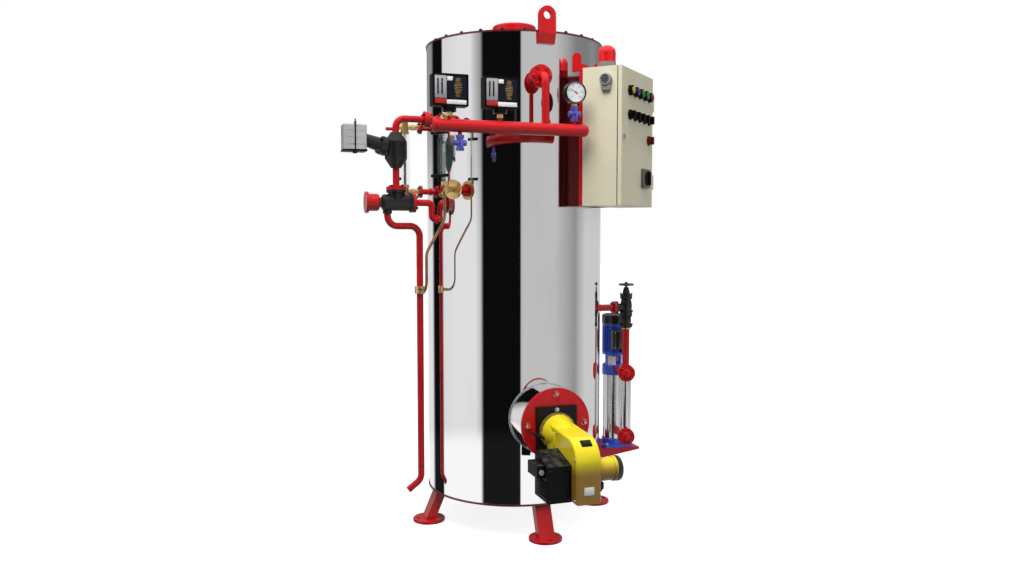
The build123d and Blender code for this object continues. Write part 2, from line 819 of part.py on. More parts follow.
with BuildPart() as pilot_lamps:
    for side_at in lamp_sides:
        rod(on_door(side_at, cabinet_top - LAMP_DROP), door_way, LAMP_R, LAMP_LEN)
    fillet(pilot_lamps.edges().group_by(door_axis)[-1], LAMP_ROUND)
    for side_at in lamp_sides:
        rod(on_door(side_at, cabinet_top - LAMP_DROP), door_way, BEZEL_R, BEZEL_LEN)
save("pilot_lamps", pilot_lamps)

knob_places = [(side_at, cabinet_top - SWITCH_ROW_DROP) for side_at in lamp_sides]
knob_places.append((lamp_sides[-1], cabinet_top - SPARE_KNOB_DROP))
with BuildPart() as door_knobs:
    for side_at, z in knob_places:
        rod(on_door(side_at, z), door_way, KNOB_R, KNOB_LEN)
        rod(on_door(side_at, z), door_way, BEZEL_R, BEZEL_LEN)
save("door_knobs", door_knobs)

main_side = CABINET_SHIFT + MAIN_SWITCH_SHIFT
main_z = cabinet_low + MAIN_SWITCH_RISE
with BuildPart() as main_switch:
    with BuildSketch(cabinet_plane.offset(door_face)) as plate:
        with Locations((main_side, main_z)):
            RectangleRounded(MAIN_SWITCH_W, MAIN_SWITCH_H, MAIN_SWITCH_ROUND)
    extrude(plate.sketch, amount=MAIN_SWITCH_T)
    rod(on_door(main_side, main_z, MAIN_SWITCH_T), door_way, MAIN_KNOB_R, MAIN_KNOB_LEN)
save("main_switch", main_switch)

# Beacon on the cabinet's roof and horn on its near side
beacon_r = cabinet_back + BEACON_OUT
beacon_side = CABINET_SHIFT + BEACON_SHIFT
with BuildPart() as beacon_base:
    rod(at(CABINET_AZ, beacon_r, cabinet_top, beacon_side), UP, BEACON_R, BEACON_BASE_H)
save("beacon_base", beacon_base)

with BuildPart() as beacon_dome:
    rod(at(CABINET_AZ, beacon_r, cabinet_top + BEACON_BASE_H, beacon_side), UP, BEACON_R, BEACON_DOME_H)
    fillet(beacon_dome.edges().sort_by(Axis.Z)[-1], BEACON_ROUND)
save("beacon_dome", beacon_dome)

near_way = tuple(-v for v in sideways(CABINET_AZ))
with BuildPart() as horn:
    horn_root = at(CABINET_AZ, cabinet_face - HORN_IN, cabinet_top - HORN_DROP, near_side)
    rod(horn_root, near_way, HORN_R, HORN_LEN)
    fillet(horn.edges().filter_by(GeomType.CIRCLE).sort_by(Axis.X)[0], HORN_ROUND)
    with BuildSketch(Plane(origin=horn_root, x_dir=DOWN, z_dir=near_way)) as horn_foot:
        with Locations((HORN_FOOT_DROP / 2, 0)):
            Rectangle(HORN_FOOT_DROP, HORN_FOOT_W)
    extrude(horn_foot.sketch, amount=HORN_FOOT_T)
save("horn", horn)

# Upright brackets between the shell and the cabinet's back: a web, a strip and a round-topped tab
tab_r = cabinet_back - BRACKET_TAB_IN
tab_top = cabinet_top + BRACKET_TAB_RISE - BRACKET_TAB_W / 2
tab_low = cabinet_top - BRACKET_TAB_FOOT
web_top = cabinet_top - BRACKET_WEB_DROP
strip_top = cabinet_top + BRACKET_STRIP_RISE
with BuildPart() as cabinet_brackets:
    for side_at in (CABINET_SHIFT - BRACKET_SPREAD / 2, CABINET_SHIFT + BRACKET_SPREAD / 2):
        edge = Plane(origin=at(CABINET_AZ, 0, 0, side_at), x_dir=door_way, z_dir=near_way)
        with BuildSketch(edge) as web:
            with Locations(((SHELL_R / 2 + cabinet_back) / 2, (cabinet_low + web_top) / 2)):
                Rectangle(cabinet_back - SHELL_R / 2, web_top - cabinet_low)
        extrude(web.sketch, amount=BRACKET_WALL)
        with BuildSketch(edge) as strip:
            with Locations((cabinet_back - BRACKET_STRIP / 2, (cabinet_low + strip_top) / 2)):
                Rectangle(BRACKET_STRIP, strip_top - cabinet_low)
        extrude(strip.sketch, amount=BRACKET_DEPTH)
        with BuildSketch(edge.offset(BRACKET_DEPTH - BRACKET_WALL)) as tab:
            with Locations((tab_r, (tab_low + tab_top) / 2)):
                Rectangle(BRACKET_TAB_W, tab_top - tab_low)
            with Locations((tab_r, tab_top)):
                Circle(BRACKET_TAB_W / 2)
        extrude(tab.sketch, amount=BRACKET_WALL)
    seat_on_shell()
save("cabinet_brackets", cabinet_brackets)

# Float level control: nozzles, float chamber with its switch box, lower tee
level_x = -shell_x(LEVEL_Y) - LEVEL_OUT
level_up = below_top(LEVEL_BELOW)
level_low = level_up - LEVEL_SPAN
level_flange_x = -shell_x(LEVEL_Y) - LEVEL_NOZZLE_OUT
float_z = level_up - FLOAT_DROP
float_top = float_z + FLOAT_TALL / 2
float_low = float_z - FLOAT_TALL / 2
tee_right_x = level_x + TEE_RIGHT
tee_top = level_low + TEE_RISE
drop_x = -shell_x(LEVEL_Y) - DROP_LEG_GAP
with BuildPart() as level_nozzles:
    rod((level_flange_x, LEVEL_Y, level_up), RIGHT, LEVEL_PIPE_R, LEVEL_NOZZLE_OUT + SHELL_WALL)
    rod((level_flange_x, LEVEL_Y, level_up), RIGHT, LEVEL_FLANGE_R, FLANGE_T)
    rod((tee_right_x, LEVEL_Y, level_low), RIGHT, TEE_FLANGE_R, FLANGE_T)
    bent_pipe(
        [
            (tee_right_x, LEVEL_Y, level_low),
            (drop_x, LEVEL_Y, level_low),
            (drop_x, LEVEL_Y, level_low - DROP_LEG_LEN),
            (drop_x + DROP_LEG_GAP + SHELL_WALL, LEVEL_Y, level_low - DROP_LEG_LEN),
        ],
        DROP_BEND,
        LEVEL_PIPE_R,
    )
    seat_on_shell()
save("level_nozzles", level_nozzles)

with BuildPart() as level_pipes:
    rod((level_flange_x, LEVEL_Y, level_up), LEFT, LEVEL_FLANGE_R, FLANGE_T)
    bent_pipe(
        [(level_flange_x, LEVEL_Y, level_up), (level_x, LEVEL_Y, level_up), (level_x, LEVEL_Y, float_top)],
        LEVEL_BEND,
        LEVEL_PIPE_R,
    )
    rod((level_x, LEVEL_Y, tee_top), UP, LEVEL_PIPE_R, float_low - tee_top)
    rod((level_x, LEVEL_Y, tee_top), UP, TEE_FLANGE_R, FLANGE_T)
    rod((level_x, LEVEL_Y, float_top + VENT_RISE), LEFT, VENT_R, VENT_LEN)
save("level_pipes", level_pipes)

arm_way = (-cos(radians(ARM_TILT)), 0, sin(radians(ARM_TILT)))
arm_root = (level_x, LEVEL_Y, float_z)


def along_arm(distance):
    """Point on the float arm's axis."""
    return tuple(arm_root[i] + arm_way[i] * distance for i in range(3))


with BuildPart() as float_chamber:
    with BuildSketch(Plane(origin=(level_x, LEVEL_Y, float_z), x_dir=RIGHT, z_dir=FRONT)) as half_body:
        Polygon(
            (0, -FLOAT_TALL / 2),
            (FLOAT_NECK_R, -FLOAT_TALL / 2),
            (FLOAT_R, -FLOAT_STRAIGHT / 2),
            (FLOAT_R, FLOAT_STRAIGHT / 2),
            (FLOAT_NECK_R, FLOAT_TALL / 2),
            (0, FLOAT_TALL / 2),
            align=None,
        )
        fillet(half_body.vertices().group_by(Axis.X)[-1], FLOAT_ROUND)
    revolve(axis=Axis((level_x, LEVEL_Y, float_z), UP))
    rod(arm_root, arm_way, ARM_R, ARM_FLANGE_AT + ARM_FLANGE_T)
    rod(along_arm(ARM_FLANGE_AT), arm_way, ARM_FLANGE_R, ARM_FLANGE_T)
save("float_chamber", float_chamber)

level_box_right = level_x - LEVEL_BOX_OUT
level_box_z = float_z + LEVEL_BOX_RISE
half_depth = LEVEL_BOX_DEPTH / 2
half_tall = LEVEL_BOX_TALL / 2
box_corner_low = (level_box_right - LEVEL_BOX_W, LEVEL_Y - half_depth, level_box_z - half_tall)
box_corner_high = (level_box_right, LEVEL_Y + half_depth, level_box_z + half_tall)
arm_start = ARM_FLANGE_AT + ARM_FLANGE_T
arm_len = LEVEL_BOX_OUT / cos(radians(ARM_TILT)) - arm_start + ARM_TIP_R
with BuildPart() as float_arm:
    rod(along_arm(arm_start), arm_way, ARM_FLANGE_R, ARM_FLANGE_T)
    taper(along_arm(arm_start), arm_way, ARM_R, ARM_TIP_R, arm_len)
    block(box_corner_low, box_corner_high, Mode.SUBTRACT)
save("float_arm", float_arm)

with BuildPart() as level_switch_box:
    block(box_corner_low, box_corner_high)
    fillet(level_switch_box.edges(), LEVEL_BOX_ROUND)
save("level_switch_box", level_switch_box)

tee_left_x = level_x - TEE_LEFT
blowdown_x = level_x - BLOWDOWN_OFFSET
with BuildPart() as level_tee:
    rod((tee_left_x, LEVEL_Y, level_low), RIGHT, TEE_R, TEE_LEFT + TEE_RIGHT)
    fillet(level_tee.edges().filter_by(GeomType.CIRCLE).sort_by(Axis.X)[0], TEE_ROUND)
    rod((tee_right_x - FLANGE_T, LEVEL_Y, level_low), RIGHT, TEE_FLANGE_R, FLANGE_T)
    rod((level_x, LEVEL_Y, level_low), UP, TEE_R, tee_top - level_low)
    rod((level_x, LEVEL_Y, tee_top - FLANGE_T), UP, TEE_FLANGE_R, FLANGE_T)
    rod((blowdown_x, LEVEL_Y, level_low), DOWN, SPIGOT_R, TEE_R + SPIGOT_LEN)
    rod((tee_left_x, LEVEL_Y, level_low), LEFT, CAP_NECK_R, CAP_NECK_LEN)
save("level_tee", level_tee)

cap_x = tee_left_x - CAP_NECK_LEN
with BuildPart() as tee_cap:
    rod((cap_x, LEVEL_Y, level_low), LEFT, CAP_R, CAP_LEN)
    fillet(tee_cap.edges().sort_by(Axis.X)[-1], CAP_ROUND)
    rod((cap_x - CAP_LEN, LEVEL_Y, level_low), LEFT, CAP_FLANGE_R, FLANGE_T)
save("tee_cap", tee_cap)

# Blowdown pipe from the tee, down the shell's left side to just over the floor
blowdown_drop_x = -(SHELL_R + BLOWDOWN_SHELL_GAP)
spigot_low = level_low - TEE_R - SPIGOT_LEN
kink_z = spigot_low - BLOWDOWN_RUN - BLOWDOWN_BEND
drain_ring_z = level_low - DRAIN_RING_DROP
end_z = height(BLOWDOWN_END_H)
with BuildPart() as blowdown_pipe:
    bent_pipe(
        [
            (blowdown_x, LEVEL_Y, spigot_low),
            (blowdown_x, LEVEL_Y, kink_z),
            (blowdown_drop_x, BLOWDOWN_Y, kink_z),
            (blowdown_drop_x, BLOWDOWN_Y, end_z),
            (blowdown_drop_x - BLOWDOWN_KICK, BLOWDOWN_Y, end_z - BLOWDOWN_FALL),
        ],
        BLOWDOWN_BEND,
        BLOWDOWN_R,
    )
    ring_low = drain_ring_z - DRAIN_RING_LEN / 2
    rod((blowdown_drop_x, BLOWDOWN_Y, ring_low), UP, DRAIN_RING_R, DRAIN_RING_LEN)
save("blowdown_pipe", blowdown_pipe)

# Gauge glasses between brass cocks on flanged nozzles
glass_r = SHELL_R + GLASS_OUT
flange_r = SHELL_R + GLASS_FLANGE_OUT
glass_up_z = below_top(GLASS_BELOW)
glass_low_z = glass_up_z - GLASS_SPAN
glass_levels = ((glass_up_z, -1), (glass_low_z, 1))
with BuildPart() as glass_nozzles:
    for azimuth in GLASS_AZIMUTHS:
        for z in (glass_up_z, glass_low_z):
            rod(at(azimuth, leg_top_r, z), outward(azimuth), GLASS_NOZZLE_R, flange_r - leg_top_r)
            rod(at(azimuth, flange_r, z), outward(azimuth), GLASS_FLANGE_R, GLASS_FLANGE_T)
    seat_on_shell()
save("glass_nozzles", glass_nozzles)

cock_r = flange_r + GLASS_FLANGE_T
with BuildPart() as glass_cocks:
    for azimuth in GLASS_AZIMUTHS:
        for z, inward in glass_levels:
            rod(at(azimuth, cock_r, z), outward(azimuth), GLASS_COCK_R, glass_r - cock_r)
            rod(
                at(azimuth, glass_r, z - inward * GLASS_BOSS_TAIL),
                (0, 0, inward),
                GLASS_BOSS_R,
                GLASS_BOSS_TAIL + GLASS_BOSS_LEN,
            )
            nut_z = z + inward * (GLASS_BOSS_LEN - GLASS_NUT_LEN)
            hexagon(at(azimuth, glass_r, nut_z), (0, 0, inward), GLASS_NUT_R, GLASS_NUT_LEN)
            rod(
                at(azimuth, glass_r, z + inward * (GLASS_BOSS_LEN - GLASS_SOCKET)),
                (0, 0, inward),
                GLASS_R + GLASS_FIT,
                GLASS_SOCKET,
                Mode.SUBTRACT,
            )
    front_az = GLASS_AZIMUTHS[1]
    rod(at(front_az, cock_r, glass_low_z), outward(front_az), GLASS_DISC_R, GLASS_DISC_T)
save("glass_cocks", glass_cocks)

# Glass tubes, each behind a glass shield that stands between the cocks
shield_low = glass_low_z + GLASS_BOSS_LEN
shield_high = glass_up_z - GLASS_BOSS_LEN
with BuildPart() as gauge_glasses:
    for azimuth in GLASS_AZIMUTHS:
        tube_foot = at(azimuth, glass_r, shield_low - GLASS_SOCKET)
        rod(tube_foot, UP, GLASS_R, shield_high - shield_low + 2 * GLASS_SOCKET)
        shield_plane = Plane(origin=at(azimuth, glass_r, shield_low), x_dir=outward(azimuth), z_dir=UP)
        with BuildSketch(shield_plane) as walls:
            Rectangle(SHIELD_W, SHIELD_W)
            with Locations((-SHIELD_T, 0)):
                Rectangle(SHIELD_W, SHIELD_W - 2 * SHIELD_T, mode=Mode.SUBTRACT)
        extrude(walls.sketch, amount=shield_high - shield_low)
        with BuildSketch(shield_plane, shield_plane.offset(shield_high - shield_low - SHIELD_T)) as ends:
            Rectangle(SHIELD_W, SHIELD_W)
        extrude(ends.sketch, amount=SHIELD_T)
save("gauge_glasses", gauge_glasses)

# Copper drain tube from the front gauge's lower cock to the blowdown pipe
drain_start = at(front_az, glass_r, glass_low_z - GLASS_BOSS_TAIL)
drain_bend_z = drain_start[2] - DRAIN_TUBE_RUN
drain_mid_y = (drain_start[1] + BLOWDOWN_Y) / 2
with BuildPart() as drain_tube:
    bent_pipe(
        [
            drain_start,
            (drain_start[0], drain_start[1], drain_bend_z),
            (blowdown_drop_x, drain_mid_y, drain_bend_z - DRAIN_TUBE_LEAN),
            (blowdown_drop_x, drain_mid_y, drain_ring_z),
            (blowdown_drop_x, BLOWDOWN_Y - DRAIN_RING_R - SEAT, drain_ring_z),
        ],
        DRAIN_TUBE_BEND,
        DRAIN_TUBE_R,
    )
save("drain_tube", drain_tube)

# Feed pump: shelf, foot, sleeve, head, motor
pump_x = SHELL_R + PUMP_OUT
shelf_low = height(SHELF_H)
shelf_top = shelf_low + SHELF_T
shelf_tip = SHELL_R + SHELF_LEN
with BuildPart() as pump_shelf:
    block((leg_top_r, -SHELF_W / 2, shelf_low), (shelf_tip, SHELF_W / 2, shelf_top))
    for y in (-SHELF_W / 2, SHELF_W / 2 - GUSSET_T):
        with BuildSketch(Plane(origin=(0, y + GUSSET_T, 0), x_dir=RIGHT, z_dir=FRONT)) as gusset:
            Polygon(
                (leg_top_r, shelf_low),
                (shelf_tip, shelf_low),
                (leg_top_r, shelf_low - GUSSET_DROP),
                align=None,
            )
        extrude(gusset.sketch, amount=GUSSET_T)
    block(
        (leg_top_r, -SHELF_W / 2, shelf_low),
        (SHELL_R + SHELF_BACK_T, SHELF_W / 2, shelf_top + SHELF_BACK_RISE),
    )
    seat_on_shell()
save("pump_shelf", pump_shelf)

foot_top = shelf_top + PUMP_FOOT_T
sleeve_low = foot_top + PUMP_CASING_LEN
sleeve_top = sleeve_low + SLEEVE_PUMP_LEN
with BuildPart() as pump_foot:
    half = PUMP_FOOT_W / 2
    block((pump_x - half, -half, shelf_top), (pump_x + half, half, foot_top))
    fillet(pump_foot.edges().filter_by(Axis.Z), PUMP_FOOT_T)
    rod((pump_x, 0, foot_top), UP, PUMP_CASING_R, PUMP_CASING_LEN)
save("pump_foot", pump_foot)

with BuildPart() as pump_sleeve:
    rod((pump_x, 0, sleeve_low), UP, SLEEVE_PUMP_R, SLEEVE_PUMP_LEN)
    with Locations((pump_x, 0, sleeve_low)):
        with PolarLocations(TIE_ROD_OUT, TIE_RODS, start_angle=180 / TIE_RODS):
            Cylinder(TIE_ROD_R, SLEEVE_PUMP_LEN, align=BASE)
save("pump_sleeve", pump_sleeve)

lantern_low = sleeve_top + HEAD_LEN
motor_low = lantern_low + LANTERN_LEN
with BuildPart() as pump_head:
    rod((pump_x, 0, sleeve_top), UP, HEAD_R, HEAD_LEN)
    rod((pump_x, 0, lantern_low), UP, LANTERN_R, LANTERN_LEN)
    window_low = lantern_low + (LANTERN_LEN - LANTERN_WINDOW_H) / 2
    block(
        (pump_x - LANTERN_WINDOW_W / 2, -LANTERN_R, window_low),
        (pump_x + LANTERN_WINDOW_W / 2, LANTERN_R, window_low + LANTERN_WINDOW_H),
        Mode.SUBTRACT,
    )
    rod((pump_x, 0, lantern_low), UP, SHAFT_R, LANTERN_LEN)
save("pump_head", pump_head)

motor_top = motor_low + PUMP_MOTOR_LEN
with BuildPart() as pump_motor:
    rod((pump_x, 0, motor_low), UP, PUMP_MOTOR_CORE_R, PUMP_MOTOR_LEN)
    for z in (motor_low, motor_top - PUMP_MOTOR_RING):
        rod((pump_x, 0, z), UP, PUMP_MOTOR_R, PUMP_MOTOR_RING)
    with Locations((pump_x, 0, motor_low)):
        with PolarLocations(0, FIN_COUNT):
            Box(PUMP_MOTOR_R, FIN_T, PUMP_MOTOR_LEN, align=(Align.MIN, Align.CENTER, Align.MIN))
save("pump_motor", pump_motor)

with BuildPart() as motor_covers:
    rod((pump_x, 0, motor_top), UP, FAN_COVER_R, FAN_COVER_LEN)
    fillet(motor_covers.edges().sort_by(Axis.Z)[-1], FAN_COVER_ROUND)
    terminal_low = motor_low + (PUMP_MOTOR_LEN - TERMINAL_TALL) / 2
    terminal_y = -PUMP_MOTOR_R - TERMINAL_DEPTH / 2
    block(
        (pump_x - TERMINAL_W / 2, terminal_y, terminal_low),
        (pump_x + TERMINAL_W / 2, 0, terminal_low + TERMINAL_TALL),
    )
    fillet(motor_covers.faces().sort_by(Axis.Y)[0].edges(), TERMINAL_ROUND)
    rod((pump_x, 0, motor_low), UP, PUMP_MOTOR_R + SEAT, PUMP_MOTOR_LEN, Mode.SUBTRACT)
save("motor_covers", motor_covers)

# Feed line: stainless tube, red ports and riser, check valve, stop valve, pipe to the shell
port_low = sleeve_low + PORT_RISE
port_high = sleeve_top + PORT_HIGH_RISE
tube_low = port_low - FEED_TUBE_OVER
tube_high = port_high + FEED_TUBE_OVER
check_low = tube_high + FEED_RISER_LEN
valve_low = check_low + CHECK_LEN
feed_z = valve_low + FEED_RISE
bonnet_z = valve_low + BONNET_RISE
port_way = outward(PORT_AZ)
port_face = (pump_x + port_way[0] * PORT_FLANGE_OUT, FEED_Y + port_way[1] * PORT_FLANGE_OUT)
with BuildPart() as feed_tube:
    rod((pump_x, FEED_Y, tube_low), UP, FEED_TUBE_R, tube_high - tube_low)
save("feed_tube", feed_tube)

with BuildPart() as feed_ports:
    for z, pump_r in ((port_low, SLEEVE_PUMP_R), (port_high, HEAD_R)):
        bent_pipe([(pump_x, 0, z), (pump_x, FEED_Y, z), (*port_face, z)], PORT_BEND, PORT_R)
        rod((*port_face, z), port_way, PORT_FLANGE_R, FLANGE_T)
        rod((pump_x, 0, z - PORT_FLANGE_R), UP, pump_r + SEAT, 2 * PORT_FLANGE_R, Mode.SUBTRACT)
    rod((pump_x, FEED_Y, tube_low), UP, FEED_TUBE_R + SEAT, tube_high - tube_low + SEAT, Mode.SUBTRACT)
save("feed_ports", feed_ports)

with BuildPart() as feed_riser:
    rod((pump_x, FEED_Y, tube_high + SEAT), UP, FEED_RISER_R, FEED_RISER_LEN - SEAT)
save("feed_riser", feed_riser)

with BuildPart() as check_valve:
    bulged((pump_x, FEED_Y, check_low), UP, CHECK_NECK_R, CHECK_R, CHECK_LEN)
    rod((pump_x, FEED_Y, check_low), UP, VALVE_FLANGE_R, VALVE_FLANGE_T)
    rod((pump_x, FEED_Y, valve_low - VALVE_FLANGE_T), UP, VALVE_FLANGE_R, VALVE_FLANGE_T)
save("check_valve", check_valve)

stem_low = bonnet_z + 2 * VALVE_FLANGE_T + BONNET_LEN
with BuildPart() as stop_valve:
    bulged((pump_x, FEED_Y, valve_low), UP, VALVE_NECK_R, VALVE_R, BONNET_RISE)
    rod((pump_x, FEED_Y, valve_low), UP, VALVE_FLANGE_R, VALVE_FLANGE_T)
    rod((pump_x, FEED_Y, feed_z), LEFT, VALVE_BRANCH_R, VALVE_SIDE)
    rod((pump_x - VALVE_SIDE + VALVE_FLANGE_T, FEED_Y, feed_z), LEFT, FEED_FLANGE_R, VALVE_FLANGE_T)
    rod((pump_x, FEED_Y, bonnet_z), UP, BONNET_FLANGE_R, 2 * VALVE_FLANGE_T)
    taper((pump_x, FEED_Y, bonnet_z + 2 * VALVE_FLANGE_T), UP, BONNET_R, GLAND_R, BONNET_LEN)
    rod((pump_x, FEED_Y, stem_low), UP, STEM_R, STEM_LEN)
save("stop_valve", stop_valve)

with BuildPart() as feed_pipe:
    feed_root = (pump_x - VALVE_SIDE, FEED_Y, feed_z)
    rod(feed_root, LEFT, FEED_R, feed_root[0] - shell_x(FEED_Y) + SHELL_WALL)
    rod(feed_root, LEFT, FEED_FLANGE_R, VALVE_FLANGE_T)
    seat_on_shell()
save("feed_pipe", feed_pipe)

# Handwheel on the stop valve's stem
wheel_z = stem_low + STEM_LEN - WHEEL_HUB_LEN / 2
with BuildPart() as handwheel:
    with BuildSketch(Plane(origin=(pump_x, FEED_Y, wheel_z), x_dir=RIGHT, z_dir=FRONT)):
        with Locations((WHEEL_R, 0)):
            Circle(WHEEL_RIM_R)
        with Locations(((STEM_R + WHEEL_FIT + WHEEL_HUB_R) / 2, 0)):
            Rectangle(WHEEL_HUB_R - STEM_R - WHEEL_FIT, WHEEL_HUB_LEN)
    revolve(axis=Axis((pump_x, FEED_Y, wheel_z), UP))
    spoke_start = (STEM_R + WHEEL_HUB_R) / 2
    with Locations((pump_x, FEED_Y, wheel_z)):
        with PolarLocations(spoke_start, WHEEL_SPOKES):
            Cylinder(
                WHEEL_SPOKE_R,
                WHEEL_R - spoke_start,
                rotation=(0, 90, 0),
                align=BASE,
            )
save("handwheel", handwheel)
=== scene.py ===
import json
from math import cos, pi, radians, sin, sqrt

import bmesh
import bpy
from mathutils import Matrix, Vector

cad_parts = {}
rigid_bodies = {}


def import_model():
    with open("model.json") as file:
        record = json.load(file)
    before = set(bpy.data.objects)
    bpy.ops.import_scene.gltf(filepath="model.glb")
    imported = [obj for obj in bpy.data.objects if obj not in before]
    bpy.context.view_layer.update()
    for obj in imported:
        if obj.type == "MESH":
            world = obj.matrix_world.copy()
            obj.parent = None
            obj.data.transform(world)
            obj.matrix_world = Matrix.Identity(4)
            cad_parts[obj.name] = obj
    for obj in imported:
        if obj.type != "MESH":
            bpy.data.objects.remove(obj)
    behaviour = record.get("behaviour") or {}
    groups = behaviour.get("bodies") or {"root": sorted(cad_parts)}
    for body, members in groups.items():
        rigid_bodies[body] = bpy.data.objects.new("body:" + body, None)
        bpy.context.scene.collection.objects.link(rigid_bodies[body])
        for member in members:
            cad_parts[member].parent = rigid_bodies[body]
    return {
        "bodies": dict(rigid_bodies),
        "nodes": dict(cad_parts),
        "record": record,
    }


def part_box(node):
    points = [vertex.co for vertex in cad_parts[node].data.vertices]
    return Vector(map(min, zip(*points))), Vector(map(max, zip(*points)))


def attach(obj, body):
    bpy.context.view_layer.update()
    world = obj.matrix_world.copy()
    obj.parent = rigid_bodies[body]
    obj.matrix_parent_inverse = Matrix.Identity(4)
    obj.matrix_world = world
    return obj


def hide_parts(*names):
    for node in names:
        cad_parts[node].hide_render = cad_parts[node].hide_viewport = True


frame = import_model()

# A vertical steam boiler: finishes for the frame's pieces, and the small fittings on them.
# Metres, floor at z = 0, boiler axis on Z, burner facing -Y, feed pump on +X.

for leftover in set(bpy.data.objects) - set(frame["nodes"].values()) - set(frame["bodies"].values()):
    bpy.data.objects.remove(leftover)
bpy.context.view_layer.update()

UP = Vector((0, 0, 1))
DOWN = Vector((0, 0, -1))
FRONT = Vector((0, -1, 0))
BACK = Vector((0, 1, 0))
LEFT = Vector((-1, 0, 0))
RIGHT = Vector((1, 0, 0))
BOILER = "boiler"
DOOR = "door"
WHEEL = "wheel"


# Places read from the frame

def low(node):
    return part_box(node)[0]


def high(node):
    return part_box(node)[1]


def middle(node):
    return (low(node) + high(node)) / 2


def reach(node, way):
    """Farthest point of a node along a direction."""
    cad = frame["nodes"][node]
    return max((cad.matrix_world @ vertex.co).dot(way) for vertex in cad.data.vertices)


def outward(azimuth):
    """Level direction away from the boiler axis; 0 is the front, 90 the pump side."""
    return Vector((sin(radians(azimuth)), -cos(radians(azimuth)), 0))


def sideways(azimuth):
    """Level direction along the shell, to the right of outward."""
    return Vector((cos(radians(azimuth)), sin(radians(azimuth)), 0))


def spot(azimuth, radius, z, side=0.0):
    """Point by azimuth, distance out, height and distance sideways."""
    return outward(azimuth) * radius + sideways(azimuth) * side + UP * z


def place(origin, normal=UP, lean=UP):
    """Frame at a point, with z along the normal and y leaning to lean."""
    z = Vector(normal).normalized()
    lean = Vector(lean)
    if abs(z.dot(lean)) > 0.99:
        lean = BACK
    x = lean.cross(z).normalized()
    y = z.cross(x)
    return Matrix.Translation(Vector(origin)) @ Matrix((x, y, z)).transposed().to_4x4()


def raised(at, height):
    """The same frame, moved along its own z."""
    return at @ Matrix.Translation((0, 0, height))


# Sums on sockets

class Wire:
    """A socket of a node tree that takes part in Python sums, and the one way to add a node."""

    def __init__(self, tree, socket=None):
        self.tree = tree
        self.socket = socket

    def node(self, kind, settings=None, inputs=None, out=0):
        """Add a node: its settings first, then the values or links of its sockets."""
        made = self.tree.nodes.new(kind)
        for key, value in (settings or {}).items():
            if key == "stops":
                set_stops(made.color_ramp, value)
            else:
                setattr(made, key, value)
        for key, value in (inputs or {}).items():
            socket = pick(made.inputs, key)
            for one in value if isinstance(value, list) else [value]:
                if isinstance(one, Wire):
                    self.tree.links.new(one.socket, socket)
                else:
                    socket.default_value = one
        return Wire(self.tree, pick(made.outputs, out) if made.outputs else None)

    def math(self, operation, a, b):
        return self.node("ShaderNodeMath", {"operation": operation}, {0: a, 1: b})

    def __add__(self, other):
        return self.math("ADD", self, other)

    __radd__ = __add__

    def __sub__(self, other):
        return self.math("SUBTRACT", self, other)

    def __rsub__(self, other):
        return self.math("SUBTRACT", other, self)

    def __mul__(self, other):
        return self.math("MULTIPLY", self, other)

    __rmul__ = __mul__

    def __truediv__(self, other):
        return self.math("DIVIDE", self, other)

    def ease(self, start, end):
        """0 below start, 1 above end, smooth between."""
        inputs = {"Value": self, "From Min": start, "From Max": end}
        return self.node("ShaderNodeMapRange", {"interpolation_type": "SMOOTHSTEP"}, inputs)

    def blend(self, first, second):
        """Colour that goes from first to second as this goes from 0 to 1."""
        inputs = {"Factor_Float": self, "A_Color": first, "B_Color": second}
        return self.node("ShaderNodeMix", {"data_type": "RGBA"}, inputs, "Result_Color")


def pick(sockets, key):
    """Socket by identifier, or else by name or number."""
    known = {socket.identifier: socket for socket in sockets}
    return known[key] if key in known else sockets[key]


def set_stops(ramp, stops):
    """Give a ramp these places and colours."""
    ramp.elements.remove(ramp.elements[-1])
    ramp.elements[0].position = stops[0][0]
    ramp.elements[0].color = stops[0][1]
    for where, colour in stops[1:]:
        ramp.elements.new(where).color = colour


# Finishes

def tone(red, green, blue):
    """Linear colour from screen values of 0 to 255."""
    parts = [v / 255 for v in (red, green, blue)]
    return tuple(v / 12.92 if v <= 0.04045 else ((v + 0.055) / 1.055) ** 2.4 for v in parts) + (1.0,)


def shade(colour, factor):
    return tuple(v * factor for v in colour[:3]) + (1.0,)


def new_finish(name):
    made = bpy.data.materials.new(name)
    made.use_nodes = True
    made.node_tree.nodes.clear()
    return made, Wire(made.node_tree)


def close(wire, shader):
    wire.node("ShaderNodeOutputMaterial", inputs={"Surface": shader})


def principled(made, wire, inputs):
    """Finish a material with one shader."""
    close(wire, wire.node("ShaderNodeBsdfPrincipled", inputs=inputs))
    return made


def noise(wire, scale, detail=3.0, rough=0.55, stretch=None):
    """Cloudy value of about 0.5, in the piece's own coordinates."""
    at = wire.node("ShaderNodeTexCoord", out="Object")
    if stretch:
        at = wire.node("ShaderNodeMapping", inputs={"Vector": at, "Scale": stretch})
    inputs = {"Vector": at, "Scale": scale, "Detail": detail, "Roughness": rough}
    return wire.node("ShaderNodeTexNoise", inputs=inputs, out="Fac")


def bump(wire, value, height, strength=1.0):
    inputs = {"Height": value, "Distance": height, "Strength": strength}
    return wire.node("ShaderNodeBump", inputs=inputs, out="Normal")


